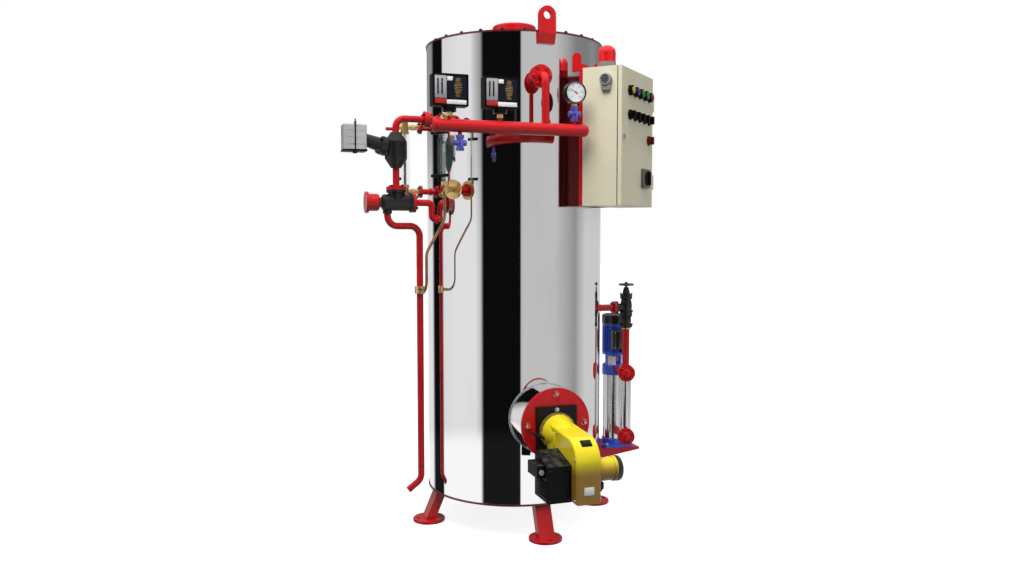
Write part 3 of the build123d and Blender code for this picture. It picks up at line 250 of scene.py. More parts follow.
def enamel(name, colour, rough=0.28, coat=0.5, peel=0.00012, cloud=0.10, dust_and_sheen=0.06, splits=(), gleam=0.5):
    """Sprayed paint: cloudy depth of colour, orange peel, and a paler tone on what faces up: dirt lying
    there, and on the air box a painted sheen on its top.

    Each split gives another colour, a direction, and where along it the change starts and ends.
    """
    made, wire = new_finish(name)
    drift = noise(wire, 7.0)
    depth = (drift * 0.7 + noise(wire, 160.0, 2.0) * 0.3).ease(0.36, 0.66)
    body = depth.blend(shade(colour, 1 - cloud), shade(colour, 1 + cloud))
    for second, way, start, end in splits:
        inputs = {"Vector": wire.node("ShaderNodeTexCoord", out="Object"), "Vector_001": way}
        along = wire.node("ShaderNodeVectorMath", {"operation": "DOT_PRODUCT"}, inputs, "Value")
        past = depth.blend(shade(second, 1 - cloud), shade(second, 1 + cloud))
        body = along.ease(start, end).blend(body, past)
    facing = wire.node("ShaderNodeNewGeometry", out="Normal")
    rise = wire.node("ShaderNodeSeparateXYZ", inputs={"Vector": facing}, out="Z")
    # Paler tone on faces that look up: dirt lying there, and where raised, a painted sheen.
    dust_and_sheen_mask = rise.ease(0.55, 1.0) * noise(wire, 32.0).ease(0.42, 0.7) * dust_and_sheen
    return principled(made, wire, {
        "Base Color": dust_and_sheen_mask.blend(body, tone(188, 182, 172)),
        "Roughness": rough + (drift - 0.5) * 0.16 + dust_and_sheen_mask,
        "Specular IOR Level": gleam,
        "Coat Weight": coat,
        "Coat Roughness": 0.08,
        "Normal": bump(wire, noise(wire, 420.0, 1.0), peel),
    })


def casting(name, colour, rough=0.42, grain=0.0006):
    """Paint over a sand casting: a pebbled skin that is paler on its high spots."""
    made, wire = new_finish(name)
    skin = noise(wire, 130.0, 5.0, 0.65)
    raised_spots = (skin * 0.6 + noise(wire, 11.0) * 0.4).ease(0.4, 0.68)
    return principled(made, wire, {
        "Base Color": raised_spots.blend(shade(colour, 0.72), shade(colour, 1.5)),
        "Roughness": rough + (skin - 0.5) * 0.22,
        "Coat Weight": 0.12,
        "Coat Roughness": 0.3,
        "Normal": bump(wire, skin, grain),
    })


def metal(name, colour, rough, grain=(1, 1, 1), tarnish=None, tarnished=0.0, bright=1.0):
    """Bare metal with tool marks along the grain and patches of tarnish; less bright is more matt."""
    made, wire = new_finish(name)
    marks = noise(wire, 90.0, 4.0, 0.6, grain)
    old = noise(wire, 14.0, 4.0).ease(0.45, 0.72) * tarnished
    new = marks.ease(0.3, 0.7).blend(shade(colour, 0.9), colour)
    return principled(made, wire, {
        "Base Color": old.blend(new, tarnish or shade(colour, 0.6)),
        "Metallic": bright,
        "Roughness": rough + (marks - 0.5) * rough + old * 0.2,
        "Normal": bump(wire, marks, 0.00003),
    })


def mirror_sheet(name):
    """Mirror-polished stainless sheet, with a faint roll and a few wiped smears."""
    made, wire = new_finish(name)
    smear = noise(wire, 3.5, 5.0, 0.6, (1, 1, 0.35)).ease(0.48, 0.74)
    roll = noise(wire, 1.6, 1.0, 0.4, (1, 1, 0.12))
    return principled(made, wire, {
        "Base Color": smear.blend(tone(246, 246, 247), tone(238, 239, 241)),
        "Metallic": 1.0,
        "Roughness": 0.025 + smear * 0.03 + noise(wire, 60.0, 3.0) * 0.012,
        "Normal": bump(wire, roll, 0.0004, 0.25),
    })


def plastic(name, colour, rough=0.4, texture=0.00012, gleam=0.3):
    """Moulded plastic with a spark-eroded skin."""
    made, wire = new_finish(name)
    skin = noise(wire, 600.0, 2.0)
    drift = noise(wire, 9.0).ease(0.35, 0.65)
    return principled(made, wire, {
        "Base Color": drift.blend(shade(colour, 0.9), shade(colour, 1.08)),
        "Roughness": rough + (skin - 0.5) * 0.2,
        "Specular IOR Level": gleam,
        "Normal": bump(wire, skin, texture),
    })


def lens(name, colour, glow=0.12):
    """Coloured lens, with its own faint light and a moulded ripple."""
    made, wire = new_finish(name)
    ripple = noise(wire, 45.0, 1.0)
    tint = ripple.ease(0.3, 0.7).blend(shade(colour, 0.85), shade(colour, 1.1))
    return principled(made, wire, {
        "Base Color": tint,
        "Roughness": 0.26 + ripple * 0.1,
        "Coat Weight": 0.12,
        "Coat Roughness": 0.1,
        "Emission Color": tint,
        "Emission Strength": glow,
        "Normal": bump(wire, ripple, 0.0002),
    })


def clear(name, colour, body, rough=0.02):
    """Clear glass or water: a thin tint that still catches the light."""
    made, wire = new_finish(name)
    streak = noise(wire, 24.0, 3.0, 0.5, (1, 1, 0.2))
    return principled(made, wire, {
        "Base Color": streak.ease(0.3, 0.7).blend(shade(colour, 0.92), colour),
        "Roughness": rough + streak * 0.02,
        "Alpha": body + (streak - 0.5) * 0.06,
        "Coat Weight": 0.5,
        "Coat Roughness": 0.01,
    })


RED = tone(208, 22, 30)
YELLOW = tone(255, 234, 30)
# Painted shade: yellow paint turns mustard below 0.525 m and is wholly mustard below 0.445 m, for the shade
# on the burner's lower faces.
SHADE_MUSTARD = tone(158, 120, 40)
PAINTED_SHADE_BELOW = [(SHADE_MUSTARD, DOWN, -0.525, -0.445)]
TURNED = (1, 1, 3)

FINISH = {
    "polished_steel": mirror_sheet("polished_steel"),
    "edge_steel": enamel("edge_paint", tone(96, 24, 26), 0.4, 0.2),
    "red_paint": enamel("red_enamel", RED, 0.3, 0.12, gleam=0.35),
    "black_paint": casting("black_casting", tone(22, 22, 23)),
    "yellow_paint": enamel("yellow_enamel", YELLOW, 0.3, 0.2, 0.00016, 0.06, splits=PAINTED_SHADE_BELOW, gleam=0.35),
    "black_plastic": plastic("black_plastic", tone(12, 12, 13), 0.45, gleam=0.12),
    "brass": metal("machined_brass", tone(240, 208, 140), 0.26, (1, 1, 5), tone(140, 102, 50), 0.5, 0.8),
    "blue_cock_paint": enamel("cock_paint", tone(92, 94, 190), 0.35, 0.3),
    "gauge_black": enamel("gauge_case", tone(28, 28, 30), 0.32, 0.4),
    "beige_paint": enamel("beige_powder", tone(238, 231, 202), 0.42, 0.1, 0.0003, 0.025, 0.03),
    "lamp_lens": lens("lamp_green", tone(40, 150, 40)),
    "grey_plastic": plastic("grey_plastic", tone(158, 160, 163), 0.42),
    "red_lens": lens("beacon_red", tone(216, 22, 30), 0.14),
    "gauge_glass": clear("gauge_glass", tone(150, 180, 172), 0.06),
    "copper": metal("copper_tube", tone(186, 146, 112), 0.3, (1, 1, 0.2), tone(100, 74, 54), 0.6),
    "blue_paint": enamel("blue_enamel", tone(60, 104, 238), 0.3, 0.4),
    "stainless": metal("stainless_tube", tone(232, 233, 235), 0.2, (1, 1, 0.05)),
    "wheel_paint": enamel("wheel_enamel", tone(50, 52, 100), 0.36, 0.3),
}
BRASS = FINISH["brass"]
GAUGE_BLACK = FINISH["gauge_black"]
BLACK_PLASTIC = FINISH["black_plastic"]
RED_PAINT = FINISH["red_paint"]
STEEL = metal("zinc_steel", tone(204, 204, 206), 0.3, TURNED, tone(130, 126, 118), 0.5, 0.6)
PINK_STEEL = metal("flange_studs", tone(226, 178, 168), 0.32, TURNED, tone(150, 84, 76), 0.5)
DARK_STEEL = metal("dark_bolts", tone(70, 66, 66), 0.38, TURNED, tone(46, 30, 28), 0.6)
WHITE = plastic("white_plate", tone(248, 248, 247), 0.35)
NAVY = enamel("dark_window", tone(12, 14, 34), 0.3, 0.1, 0.00002, gleam=0.2)
GREY_PLATE = plastic("switch_plate", tone(176, 177, 180), 0.4)
RED_TAG = plastic("red_tag", tone(206, 44, 50), 0.35)
BRONZE = metal("spring_bronze", tone(150, 122, 84), 0.3, TURNED, tone(84, 62, 40), 0.6, 0.8)
RUBBER = plastic("black_rubber", tone(20, 20, 20), 0.6)
ZINC_PANEL = metal("zinc_panel", tone(186, 190, 192), 0.4, (1, 1, 1), tone(150, 152, 154), 0.5)
BOX_GREY = plastic("box_grey", tone(196, 198, 200), 0.42)

# The brackets carry painted shade: dark maroon stands for the shade in their recess, with the real red on a
# strip by the cabinet and on the tabs over it.
CABINET_AZ = 43.0
STRIP = 0.022
TAB_DROP = 0.014
SHARP = 0.001
face_way = outward(CABINET_AZ)
along_way = sideways(CABINET_AZ)
cabinet_back = -reach("control_cabinet", -face_way)
strip_start = cabinet_back - STRIP
tab_start = high("control_cabinet").z - TAB_DROP
red_edges = [(RED, face_way, strip_start, strip_start + SHARP), (RED, UP, tab_start, tab_start + SHARP)]
OWN_FINISH = {
    # Painted sheen: a raised paler share on the top faces stands for the light on the air box's top.
    "air_box": enamel("air_box_black", tone(12, 12, 13), 0.45, 0.0, dust_and_sheen=0.12, gleam=0.12),
    # Painted shade: the neck and collar are the burner yellow as it looks in shade, a tan.
    "burner_neck": enamel("collar_paint", tone(150, 124, 62), 0.35, 0.3),
    "burner_plate": enamel("plate_black", tone(14, 14, 15), 0.4, 0.05, gleam=0.2),
    # Painted shade: the dark maroon base is the recess's shade; the splits give back the red.
    "cabinet_brackets": enamel("bracket_paint", tone(84, 12, 15), 0.34, 0.1, splits=red_edges, gleam=0.2),
    "level_switch_box": BOX_GREY,
    "motor_covers": GAUGE_BLACK,
}
for part in frame["record"]["subparts"]:
    cad = frame["nodes"][part["node"]]
    cad.data.materials.clear()
    cad.data.materials.append(OWN_FINISH.get(part["node"], FINISH[part["material_slot"]]))


# Shapes

class Piece:
    """Mesh of one piece, gathered shape by shape."""

    def __init__(self):
        self.mesh = bmesh.new()

    def ring(self, at, radius, height, sides):
        if radius < 1e-6:
            return [self.mesh.verts.new(at @ Vector((0, 0, height)))]
        turns = [2 * pi * k / sides for k in range(sides)]
        return [self.mesh.verts.new(at @ Vector((radius * cos(a), radius * sin(a), height))) for a in turns]

    def skin(self, first, second):
        """Faces between two rings, either of which may be a single point."""
        count = max(len(first), len(second))
        for k in range(count):
            after = (k + 1) % count
            corners = [first[k % len(first)], first[after % len(first)]]
            corners += [second[after % len(second)], second[k % len(second)]]
            self.mesh.faces.new(list(dict.fromkeys(corners)))

    def turned(self, at, profile, sides=36, hollow=False):
        """Body turned about z from (radius, height) points; hollow joins the last to the first."""
        rings = [self.ring(at, radius, height, sides) for radius, height in profile]
        return self.stretched(rings, hollow)

    def stretched(self, rings, closed):
        """Skin over a row of rings, closed into a loop or with its ends capped."""
        for first, second in zip(rings, rings[1:]):
            self.skin(first, second)
        if closed:
            self.skin(rings[-1], rings[0])
        else:
            for end in (rings[0], rings[-1]):
                if len(end) > 1:
                    self.mesh.faces.new(end)
        return self

    def rod(self, start, axis, radius, length, sides=24, edge=0.0):
        """Round bar with broken edges."""
        profile = [(radius - edge, 0), (radius, edge), (radius, length - edge), (radius - edge, length)]
        return self.turned(place(start, axis), profile if edge else profile[1:3], sides)

    def hexagon(self, start, axis, radius, length):
        """Hexagon with chamfered corners."""
        return self.rod(start, axis, radius, length, 6, radius * 0.12)

    def swept(self, path, radius, sides=12, closed=False):
        """Round bar along a path of points."""
        points = [Vector(p) for p in path]
        count = len(points)
        heading = []
        for k in range(count):
            before = points[k - 1] if closed or k else points[0]
            after = points[(k + 1) % count] if closed or k < count - 1 else points[k]
            heading.append((after - before).normalized())
        side = heading[0].orthogonal().normalized()
        turns = [2 * pi * k / sides for k in range(sides)]
        rings = []
        for point, way in zip(points, heading):
            side = (side - way * side.dot(way)).normalized()
            other = way.cross(side)
            spokes = [(side * cos(a) + other * sin(a)) * radius for a in turns]
            rings.append([self.mesh.verts.new(point + spoke) for spoke in spokes])
        return self.stretched(rings, closed)

    def take(self, data):
        """Add a mesh, which then goes."""
        self.mesh.from_mesh(data)
        bpy.data.meshes.remove(data)
        return self

    def box(self, at, size, edge, steps=2):
        """Block centred on the frame, with rounded edges; made apart, to keep its faces in one order."""
        block = bmesh.new()
        bmesh.ops.create_cube(block, size=1, matrix=at @ Matrix.Diagonal((*size, 1)))
        rounding = {"segments": steps, "profile": 0.5, "affect": "EDGES", "clamp_overlap": True}
        bmesh.ops.bevel(block, geom=block.edges[:], offset=edge, **rounding)
        data = bpy.data.meshes.new("block")
        block.to_mesh(data)
        block.free()
        return self.take(data)

    def plate(self, at, outline, thickness):
        """Flat plate with an outline in the frame's xy plane, rising along z."""
        rings = [[self.mesh.verts.new(at @ Vector((x, y, z))) for x, y in outline] for z in (0, thickness)]
        return self.stretched(rings, False)

    def done(self, name, slot, finish=None, body=BOILER, stands_for=(), crease=40):
        bmesh.ops.recalc_face_normals(self.mesh, faces=self.mesh.faces)
        data = bpy.data.meshes.new(name)
        self.mesh.to_mesh(data)
        self.mesh.free()
        settle(name, data, slot, finish, body, stands_for, crease)


def add(name, data):
    """New object in the scene."""
    made = bpy.data.objects.new(name, data)
    bpy.context.scene.collection.objects.link(made)
    return made


def settle(name, data, slot, finish=None, body=BOILER, stands_for=(), crease=30):
    """Make a mesh one piece of the boiler, in its slot's finish or another."""
    data.materials.clear()
    data.materials.append(finish or FINISH[slot])
    data.shade_smooth()
    data.set_sharp_from_angle(angle=radians(crease))
    made = add(name, data)
    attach(made, body)
    if stands_for:
        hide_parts(*stands_for)


def plain_mesh(carrier):
    """Mesh of an object as its modifiers or its text leave it; the object goes."""
    bpy.context.view_layer.update()
    made = bpy.data.meshes.new_from_object(carrier.evaluated_get(bpy.context.evaluated_depsgraph_get()))
    bpy.data.objects.remove(carrier)
    return made


# Repeats by Geometry Nodes

def new_tree(name, kinds):
    """Geometry tree with a geometry, a finish and other named inputs, and a wire for each."""
    tree = bpy.data.node_groups.new(name, "GeometryNodeTree")
    tree.interface.new_socket("Geometry", in_out="OUTPUT", socket_type="NodeSocketGeometry")
    kinds = {"Geometry": "Geometry", **kinds, "Finish": "Material"}
    for label, kind in kinds.items():
        tree.interface.new_socket(label, in_out="INPUT", socket_type="NodeSocket" + kind)
    inputs = tree.nodes.new("NodeGroupInput")
    return Wire(tree), {label: Wire(tree, inputs.outputs[label]) for label in kinds}


def named(wire, name, kind="FLOAT_VECTOR"):
    return wire.node("GeometryNodeInputNamedAttribute", {"data_type": kind}, {"Name": name}, "Attribute")


def aligned(wire, settings, inputs):
    return wire.node("FunctionNodeAlignRotationToVector", settings, inputs)


def close_tree(wire, given, shape, turn, size):
    """Set a shape on every point, then make it plain mesh in one finish."""
    inputs = {"Points": given["Geometry"], "Instance": shape, "Rotation": turn, "Scale": size}
    placed = wire.node("GeometryNodeInstanceOnPoints", inputs=inputs)
    real = wire.node("GeometryNodeRealizeInstances", inputs={"Geometry": placed})
    coloured = wire.node("GeometryNodeSetMaterial", inputs={"Geometry": real, "Material": given["Finish"]})
    wire.node("NodeGroupOutput", inputs={"Geometry": coloured})
    return wire.tree


def fastener_tree():
    """Bolt heads on washers; each point has an axis and a size."""
    wire, given = new_tree("fasteners", {"Sides": "Int", "Head": "Float", "Crown": "Float"})
    head = given["Head"]
    cylinder = "GeometryNodeMeshCylinder"
    washer = wire.node(cylinder, inputs={"Vertices": 14, "Radius": 1.25, "Depth": 0.2}, out="Mesh")
    shank = wire.node(cylinder, inputs={"Vertices": given["Sides"], "Radius": 1.0, "Depth": head}, out="Mesh")
    slope = {"Vertices": given["Sides"], "Radius Top": 0.62, "Radius Bottom": 1.0, "Depth": given["Crown"]}
    cap = wire.node("GeometryNodeMeshCone", inputs=slope, out="Mesh")
    shapes = [washer]
    for shape, height in ((shank, head / 2 + 0.1), (cap, head + 0.1)):
        over = wire.node("ShaderNodeCombineXYZ", inputs={"Z": height})
        shapes.append(wire.node("GeometryNodeTransform", inputs={"Geometry": shape, "Translation": over}))
    shape = wire.node("GeometryNodeJoinGeometry", inputs={"Geometry": shapes})
    turn = aligned(wire, {"axis": "Z"}, {"Vector": named(wire, "axis")})
    return close_tree(wire, given, shape, turn, named(wire, "size", "FLOAT"))


def slat_tree():
    """Bars; each point has an axis that the bar stands along, a heading and a size."""
    wire, given = new_tree("slats", {})
    shape = wire.node("GeometryNodeMeshCube", inputs={"Size": (1.0, 1.0, 1.0)}, out="Mesh")
    turn = aligned(wire, {"axis": "Z"}, {"Vector": named(wire, "axis")})
    inputs = {"Rotation": turn, "Vector": named(wire, "heading")}
    turn = aligned(wire, {"axis": "Y", "pivot_axis": "Z"}, inputs)
    return close_tree(wire, given, shape, turn, named(wire, "size"))


FASTENERS = fastener_tree()
SLATS = slat_tree()
HEX = {"Sides": 6, "Head": 0.9, "Crown": 0.35}
STUD = {"Sides": 6, "Head": 1.0, "Crown": 0.7}
DOME = {"Sides": 16, "Head": 0.45, "Crown": 0.75}


def repeat(name, tree, rows, values, slot, finish=None):
    """One piece made by a tree on rows of points and their attributes."""
    data = bpy.data.meshes.new(name + ".points")
    data.from_pydata([row["at"] for row in rows], [], [])
    for key in [k for k in rows[0] if k != "at"]:
        wide = not isinstance(rows[0][key], float)
        layer = data.attributes.new(key, "FLOAT_VECTOR" if wide else "FLOAT", "POINT")
        flat = [v for row in rows for v in row[key]] if wide else [row[key] for row in rows]
        layer.data.foreach_set("vector" if wide else "value", flat)
    carrier = add(name + ".points", data)
    growth = carrier.modifiers.new("growth", "NODES")
    growth.node_group = tree
    sockets = {s.name: s.identifier for s in tree.interface.items_tree if s.in_out == "INPUT"}
    for key, value in {**values, "Finish": finish or FINISH[slot]}.items():
        growth[sockets[key]] = value
    made = plain_mesh(carrier)
    made.name = name
    settle(name, made, slot, finish)


def bolts(name, rows, slot, finish=None, head=HEX):
    repeat(name, FASTENERS, rows, head, slot, finish)


def slats(name, rows, slot, finish=None):
    repeat(name, SLATS, rows, {}, slot, finish)


def bolt(at, axis, size):
    return {"at": at, "axis": axis, "size": size}


def slat(at, axis, heading, size):
    return {"at": at, "axis": axis, "heading": heading, "size": size}


def bolt_ring(centre, axis, radius, count, size, start=0.0):
    """Rows for bolts round a flange; start turns the first one from the top or from +X."""
    at = place(centre, axis)
    turns = [radians(start) + 2 * pi * k / count for k in range(count)]
    return [bolt(at @ Vector((radius * sin(a), radius * cos(a), 0)), axis, size) for a in turns]


def corner_bolts(at, half_x, half_y, rise, size):
    """Rows for four bolts on a plate, along its frame's z."""
    axis = at.col[2].xyz
    return [bolt(at @ Vector((x, y, rise)), axis, size) for x in (-half_x, half_x) for y in (-half_y, half_y)]


# Shell: rim bolts, welds and the seam at the back

SHELL_R = high("jacket").x
RIM_BOLTS = 26
RIM_FIRST = 1.4
RIM_INSET = 0.014
rim_z = high("top_plate").z
rim_turns = [RIM_FIRST + 360 * k / RIM_BOLTS for k in range(RIM_BOLTS)]
rim = [bolt(spot(turn, SHELL_R - RIM_INSET, rim_z), UP, 0.009) for turn in rim_turns]
bolts("rim_bolts", rim, "edge_steel", DARK_STEEL, DOME)

WELD_R = 0.004
WELD_STEPS = 48


def weld(piece, azimuth, side, z, radius):
    """Bead where a round nozzle meets the shell."""
    path = []
    for k in range(WELD_STEPS):
        turn = 2 * pi * k / WELD_STEPS
        across = side + radius * cos(turn)
        path.append(spot(azimuth, sqrt(SHELL_R**2 - across**2), z + radius * sin(turn), across))
    return piece.swept(path, WELD_R, 8, True)


def weld_node(piece, node, azimuth, radius):
    """Bead round a node that stands out from the shell."""
    centre = middle(node)
    return weld(piece, azimuth, centre.dot(sideways(azimuth)), centre.z, radius)


LEVEL_Y = middle("level_pipes").y
LEVEL_LOW_Z = middle("tee_cap").z
LEVEL_FLANGE_R = 0.040
LEVEL_PIPE_R = 0.0165
LEVEL_UP_Z = high("level_nozzles").z - LEVEL_FLANGE_R
LEVEL_DROP_Z = low("level_nozzles").z + LEVEL_PIPE_R
GLASS_AZIMUTHS = (-88.5, -53.0)
GLASS_FLANGE_R = 0.031
GLASS_UP_Z = high("glass_nozzles").z - GLASS_FLANGE_R
GLASS_LOW_Z = low("glass_nozzles").z + GLASS_FLANGE_R
SLEEVE_R = (high("burner_sleeve").x - low("burner_sleeve").x) / 2
weld_node(Piece(), "burner_sleeve", 0, SLEEVE_R + WELD_R / 2).done("sleeve_weld", "polished_steel", STEEL)
nozzle_welds = Piece()
weld_node(nozzle_welds, "steam_nozzle", 0, 0.026)
weld_node(nozzle_welds, "feed_pipe", 90, 0.019)
for z in (LEVEL_UP_Z, LEVEL_DROP_Z):
    weld(nozzle_welds, -90, -LEVEL_Y, z, LEVEL_PIPE_R + WELD_R / 2)
for azimuth in GLASS_AZIMUTHS:
    for z in (GLASS_UP_Z, GLASS_LOW_Z):
        weld(nozzle_welds, azimuth, 0, z, 0.016)
nozzle_welds.done("nozzle_welds", "red_paint")

SEAM_HALF = 2.2
SEAM_MARGIN = 0.004
RIVET_TURN = 1.4
RIVET_FIRST = 0.04
RIVET_STEP = 0.09
seam_low = low("jacket").z + SEAM_MARGIN
seam_tall = high("jacket").z - seam_low - SEAM_MARGIN
seam_outline = [spot(180 + turn, SHELL_R + 0.0012, 0).xy for turn in (-SEAM_HALF, 0, SEAM_HALF)]
seam_outline += [spot(180 + turn, SHELL_R - 0.0005, 0).xy for turn in (SEAM_HALF, 0, -SEAM_HALF)]
Piece().plate(Matrix.Translation(UP * seam_low), seam_outline, seam_tall).done("back_seam", "polished_steel")
seam_rivets = [
    bolt(spot(180 + turn, SHELL_R + 0.001, seam_low + RIVET_FIRST + RIVET_STEP * k), BACK, 0.004)
    for k in range(int((seam_tall - 0.06) / RIVET_STEP) + 1)
    for turn in (-RIVET_TURN, RIVET_TURN)
]
bolts("seam_rivets", seam_rivets, "polished_steel", STEEL, DOME)

# Burner: studs, plate bolts, window, bare plate, sensor, louvres and motor trim

burner_at = middle("burner_flange")
neck_z = middle("burner_plate").z
plate_face = low("burner_plate").y


def on_burner(y, z):
    """Point on the burner's middle plane."""
    return Vector((burner_at.x, y, z))


STUD_RING = 0.141
studs = bolt_ring(on_burner(low("burner_flange").y, burner_at.z), FRONT, STUD_RING, 4, 0.0115)
bolts("flange_studs", studs, "red_paint", PINK_STEEL, STUD)
PLATE_BOLT_INSET = 0.016
plate_heights = (high("burner_plate").z - PLATE_BOLT_INSET, low("burner_plate").z + PLATE_BOLT_INSET)
plate_bolts = [bolt(on_burner(plate_face, z), FRONT, 0.009) for z in plate_heights]
bolts("plate_bolts", plate_bolts, "black_paint", STEEL)
COLLAR_LEN = 0.014
collar_bolts = bolt_ring(on_burner(plate_face - COLLAR_LEN, neck_z), FRONT, 0.0836, 10, 0.0026, 18)
bolts("collar_bolts", collar_bolts, "yellow_paint", STEEL)

DUCT_RISE = 0.020
SLOPE_DROP = 0.020
CROWN_R = 0.105
CROWN_TURN = radians(55)
housing_low = low("burner_housing")
housing_back = high("burner_housing").y
slope = SLOPE_DROP / (housing_back - housing_low.y)
crown_y = housing_low.y + CROWN_R
crown_z = burner_at.z + DUCT_RISE - slope * (housing_back - crown_y) - CROWN_R * sqrt(1 + slope**2)
crown_way = FRONT * cos(CROWN_TURN) + UP * sin(CROWN_TURN)
window = place(Vector((0.005, crown_y, crown_z)) + crown_way * CROWN_R, crown_way)
Piece().box(window, (0.049, 0.034, 0.008), 0.002).done("window_frame", "yellow_paint", BLACK_PLASTIC)
Piece().box(raised(window, 0.0035), (0.037, 0.023, 0.003), 0.0012).done("window_pane", "yellow_paint", NAVY)
bare_plate = place((0.002, housing_low.y, housing_low.z + 0.058), FRONT)
Piece().box(bare_plate, (0.046, 0.035, 0.003), 0.0006).done("bare_plate", "yellow_paint", WHITE)
bolts("plate_pins", corner_bolts(bare_plate, 0.020, 0.0145, 0.0015, 0.0016), "yellow_paint", STEEL, DOME)

# Depth and height of the screws on each side of the housing
SIDE_SCREWS = ((-0.755, 0.592), (-0.755, 0.497), (-0.964, 0.520), (-0.964, 0.345))
RIB_Y = -0.724
DUCT_HALF = low("burner_motor").x
side_screws = []
ribs = Piece()
for way in (LEFT, RIGHT):
    side_screws += [bolt(way * DUCT_HALF + Vector((0, y, z)), way, 0.005) for y, z in SIDE_SCREWS]
    ribs.box(place(way * DUCT_HALF + on_burner(RIB_Y, neck_z - 0.010), way), (0.012, 0.066, 0.010), 0.004)
bolts("housing_screws", side_screws, "yellow_paint", STEEL, DOME)
ribs.done("duct_ribs", "yellow_paint")

sensor_at = place((-0.133, -0.632, 0.571), (0.061, -0.008, -0.029))
sensor_profile = [(0.003, 0), (0.006, 0.002), (0.006, 0.016), (0.0085, 0.018), (0.0085, 0.042)]
sensor_profile += [(0.006, 0.044), (0.006, 0.070)]
Piece().turned(sensor_at, sensor_profile, 20).done("flame_sensor", "black_plastic", RUBBER)

AIR_BOX_W = 0.111
LOUVRES = 5
LOUVRE_SIZE = (0.104, 0.010, 0.004)
air_low = low("air_box")
air_left = high("air_box").x - AIR_BOX_W
louvre_y = middle("air_box").y - 0.02
louvre_way = (LEFT * 0.75 + DOWN * 0.66).normalized()
louvre_heights = [air_low.z + 0.022 + 0.016 * k for k in range(LOUVRES)]
louvres = [slat((air_left - 0.001, louvre_y, z), louvre_way, UP, LOUVRE_SIZE) for z in louvre_heights]
slats("air_louvres", louvres, "black_plastic")
DRIVE_INSET = 0.026
drive_at = (air_left - 0.017, air_low.y + DRIVE_INSET, air_low.z + 0.133)
Piece().rod(drive_at, FRONT, 0.0115, 0.004, 28, 0.001).done("drive_cap", "black_plastic", GREY_PLATE)
air_screws = [
    bolt((air_left + across, air_low.y, air_low.z + up), FRONT, 0.004)
    for across in (0.012, AIR_BOX_W - 0.012)
    for up in (0.012, 0.145)
]
bolts("air_screws", air_screws, "black_plastic", DARK_STEEL, DOME)

VENTS = 14
VENT_RING = 0.026
motor_at = middle("burner_motor")
vent_at = Vector((high("burner_motor_cap").x - 0.001, motor_at.y, motor_at.z))
vent_rays = [Vector((0, sin(2 * pi * k / VENTS), cos(2 * pi * k / VENTS))) for k in range(VENTS)]
vents = [slat(vent_at + ray * VENT_RING, RIGHT, ray, (0.004, 0.024, 0.003)) for ray in vent_rays]
slats("motor_vents", vents, "black_plastic", RUBBER)
motor_bolts = bolt_ring((DUCT_HALF + 0.012, motor_at.y, motor_at.z), RIGHT, 0.0515, 6, 0.0022, 30)
bolts("motor_bolts", motor_bolts, "yellow_paint", STEEL)
PUMP_LEN = 0.030
oil_pump_at = Vector((DUCT_HALF + 0.010, motor_at.y - 0.030, motor_at.z - 0.046))
oil_pump = Piece().rod(oil_pump_at, DOWN, 0.017, PUMP_LEN, 28, 0.003)
oil_pump.hexagon(oil_pump_at + DOWN * PUMP_LEN, DOWN, 0.011, 0.010)
oil_pump.done("oil_pump", "black_plastic", RUBBER)

# Steam header: flange bolts, switches, gauge and cock handles

RISER_FLANGE_T = 0.014
steam_at = middle("steam_nozzle")
steam_bolts = bolt_ring(
    (steam_at.x, high("steam_riser").y - RISER_FLANGE_T, steam_at.z), FRONT, 0.040, 6, 0.0065, 30
)
bolts("steam_flange_bolts", steam_bolts, "red_paint")

SWITCH_W = 0.160
SWITCH_TALL = 0.138
switch_low = low("pressure_switches")
switch_high = high("pressure_switches")
switch_face = switch_low.y + 0.003
switch_mid_z = switch_high.z - SWITCH_TALL / 2
switch_x = (switch_low.x + SWITCH_W / 2, switch_high.x - SWITCH_W / 2)


def on_switch(x, across, up, rise=0.0):
    """Frame in a switch's sunk window: across and up from its middle."""
    return place((x + across, switch_face - rise, switch_mid_z + up), FRONT)


COIL_TURNS = 6
COIL_STEPS = 20
COIL_TALL = 0.062
COIL_WIRE = 0.0028
COIL_ACROSS = 0.033
COIL_LOW = -0.020


def coil_point(step):
    """Point of a flat-wound range spring, widest at half its height."""
    turn = 2 * pi * step / COIL_STEPS
    up = COIL_TALL * step / (COIL_STEPS * COIL_TURNS)
    wide = 0.009 + 0.008 * sin(pi * up / COIL_TALL)
    return Vector((wide * cos(turn), 0.001 * sin(turn), up))


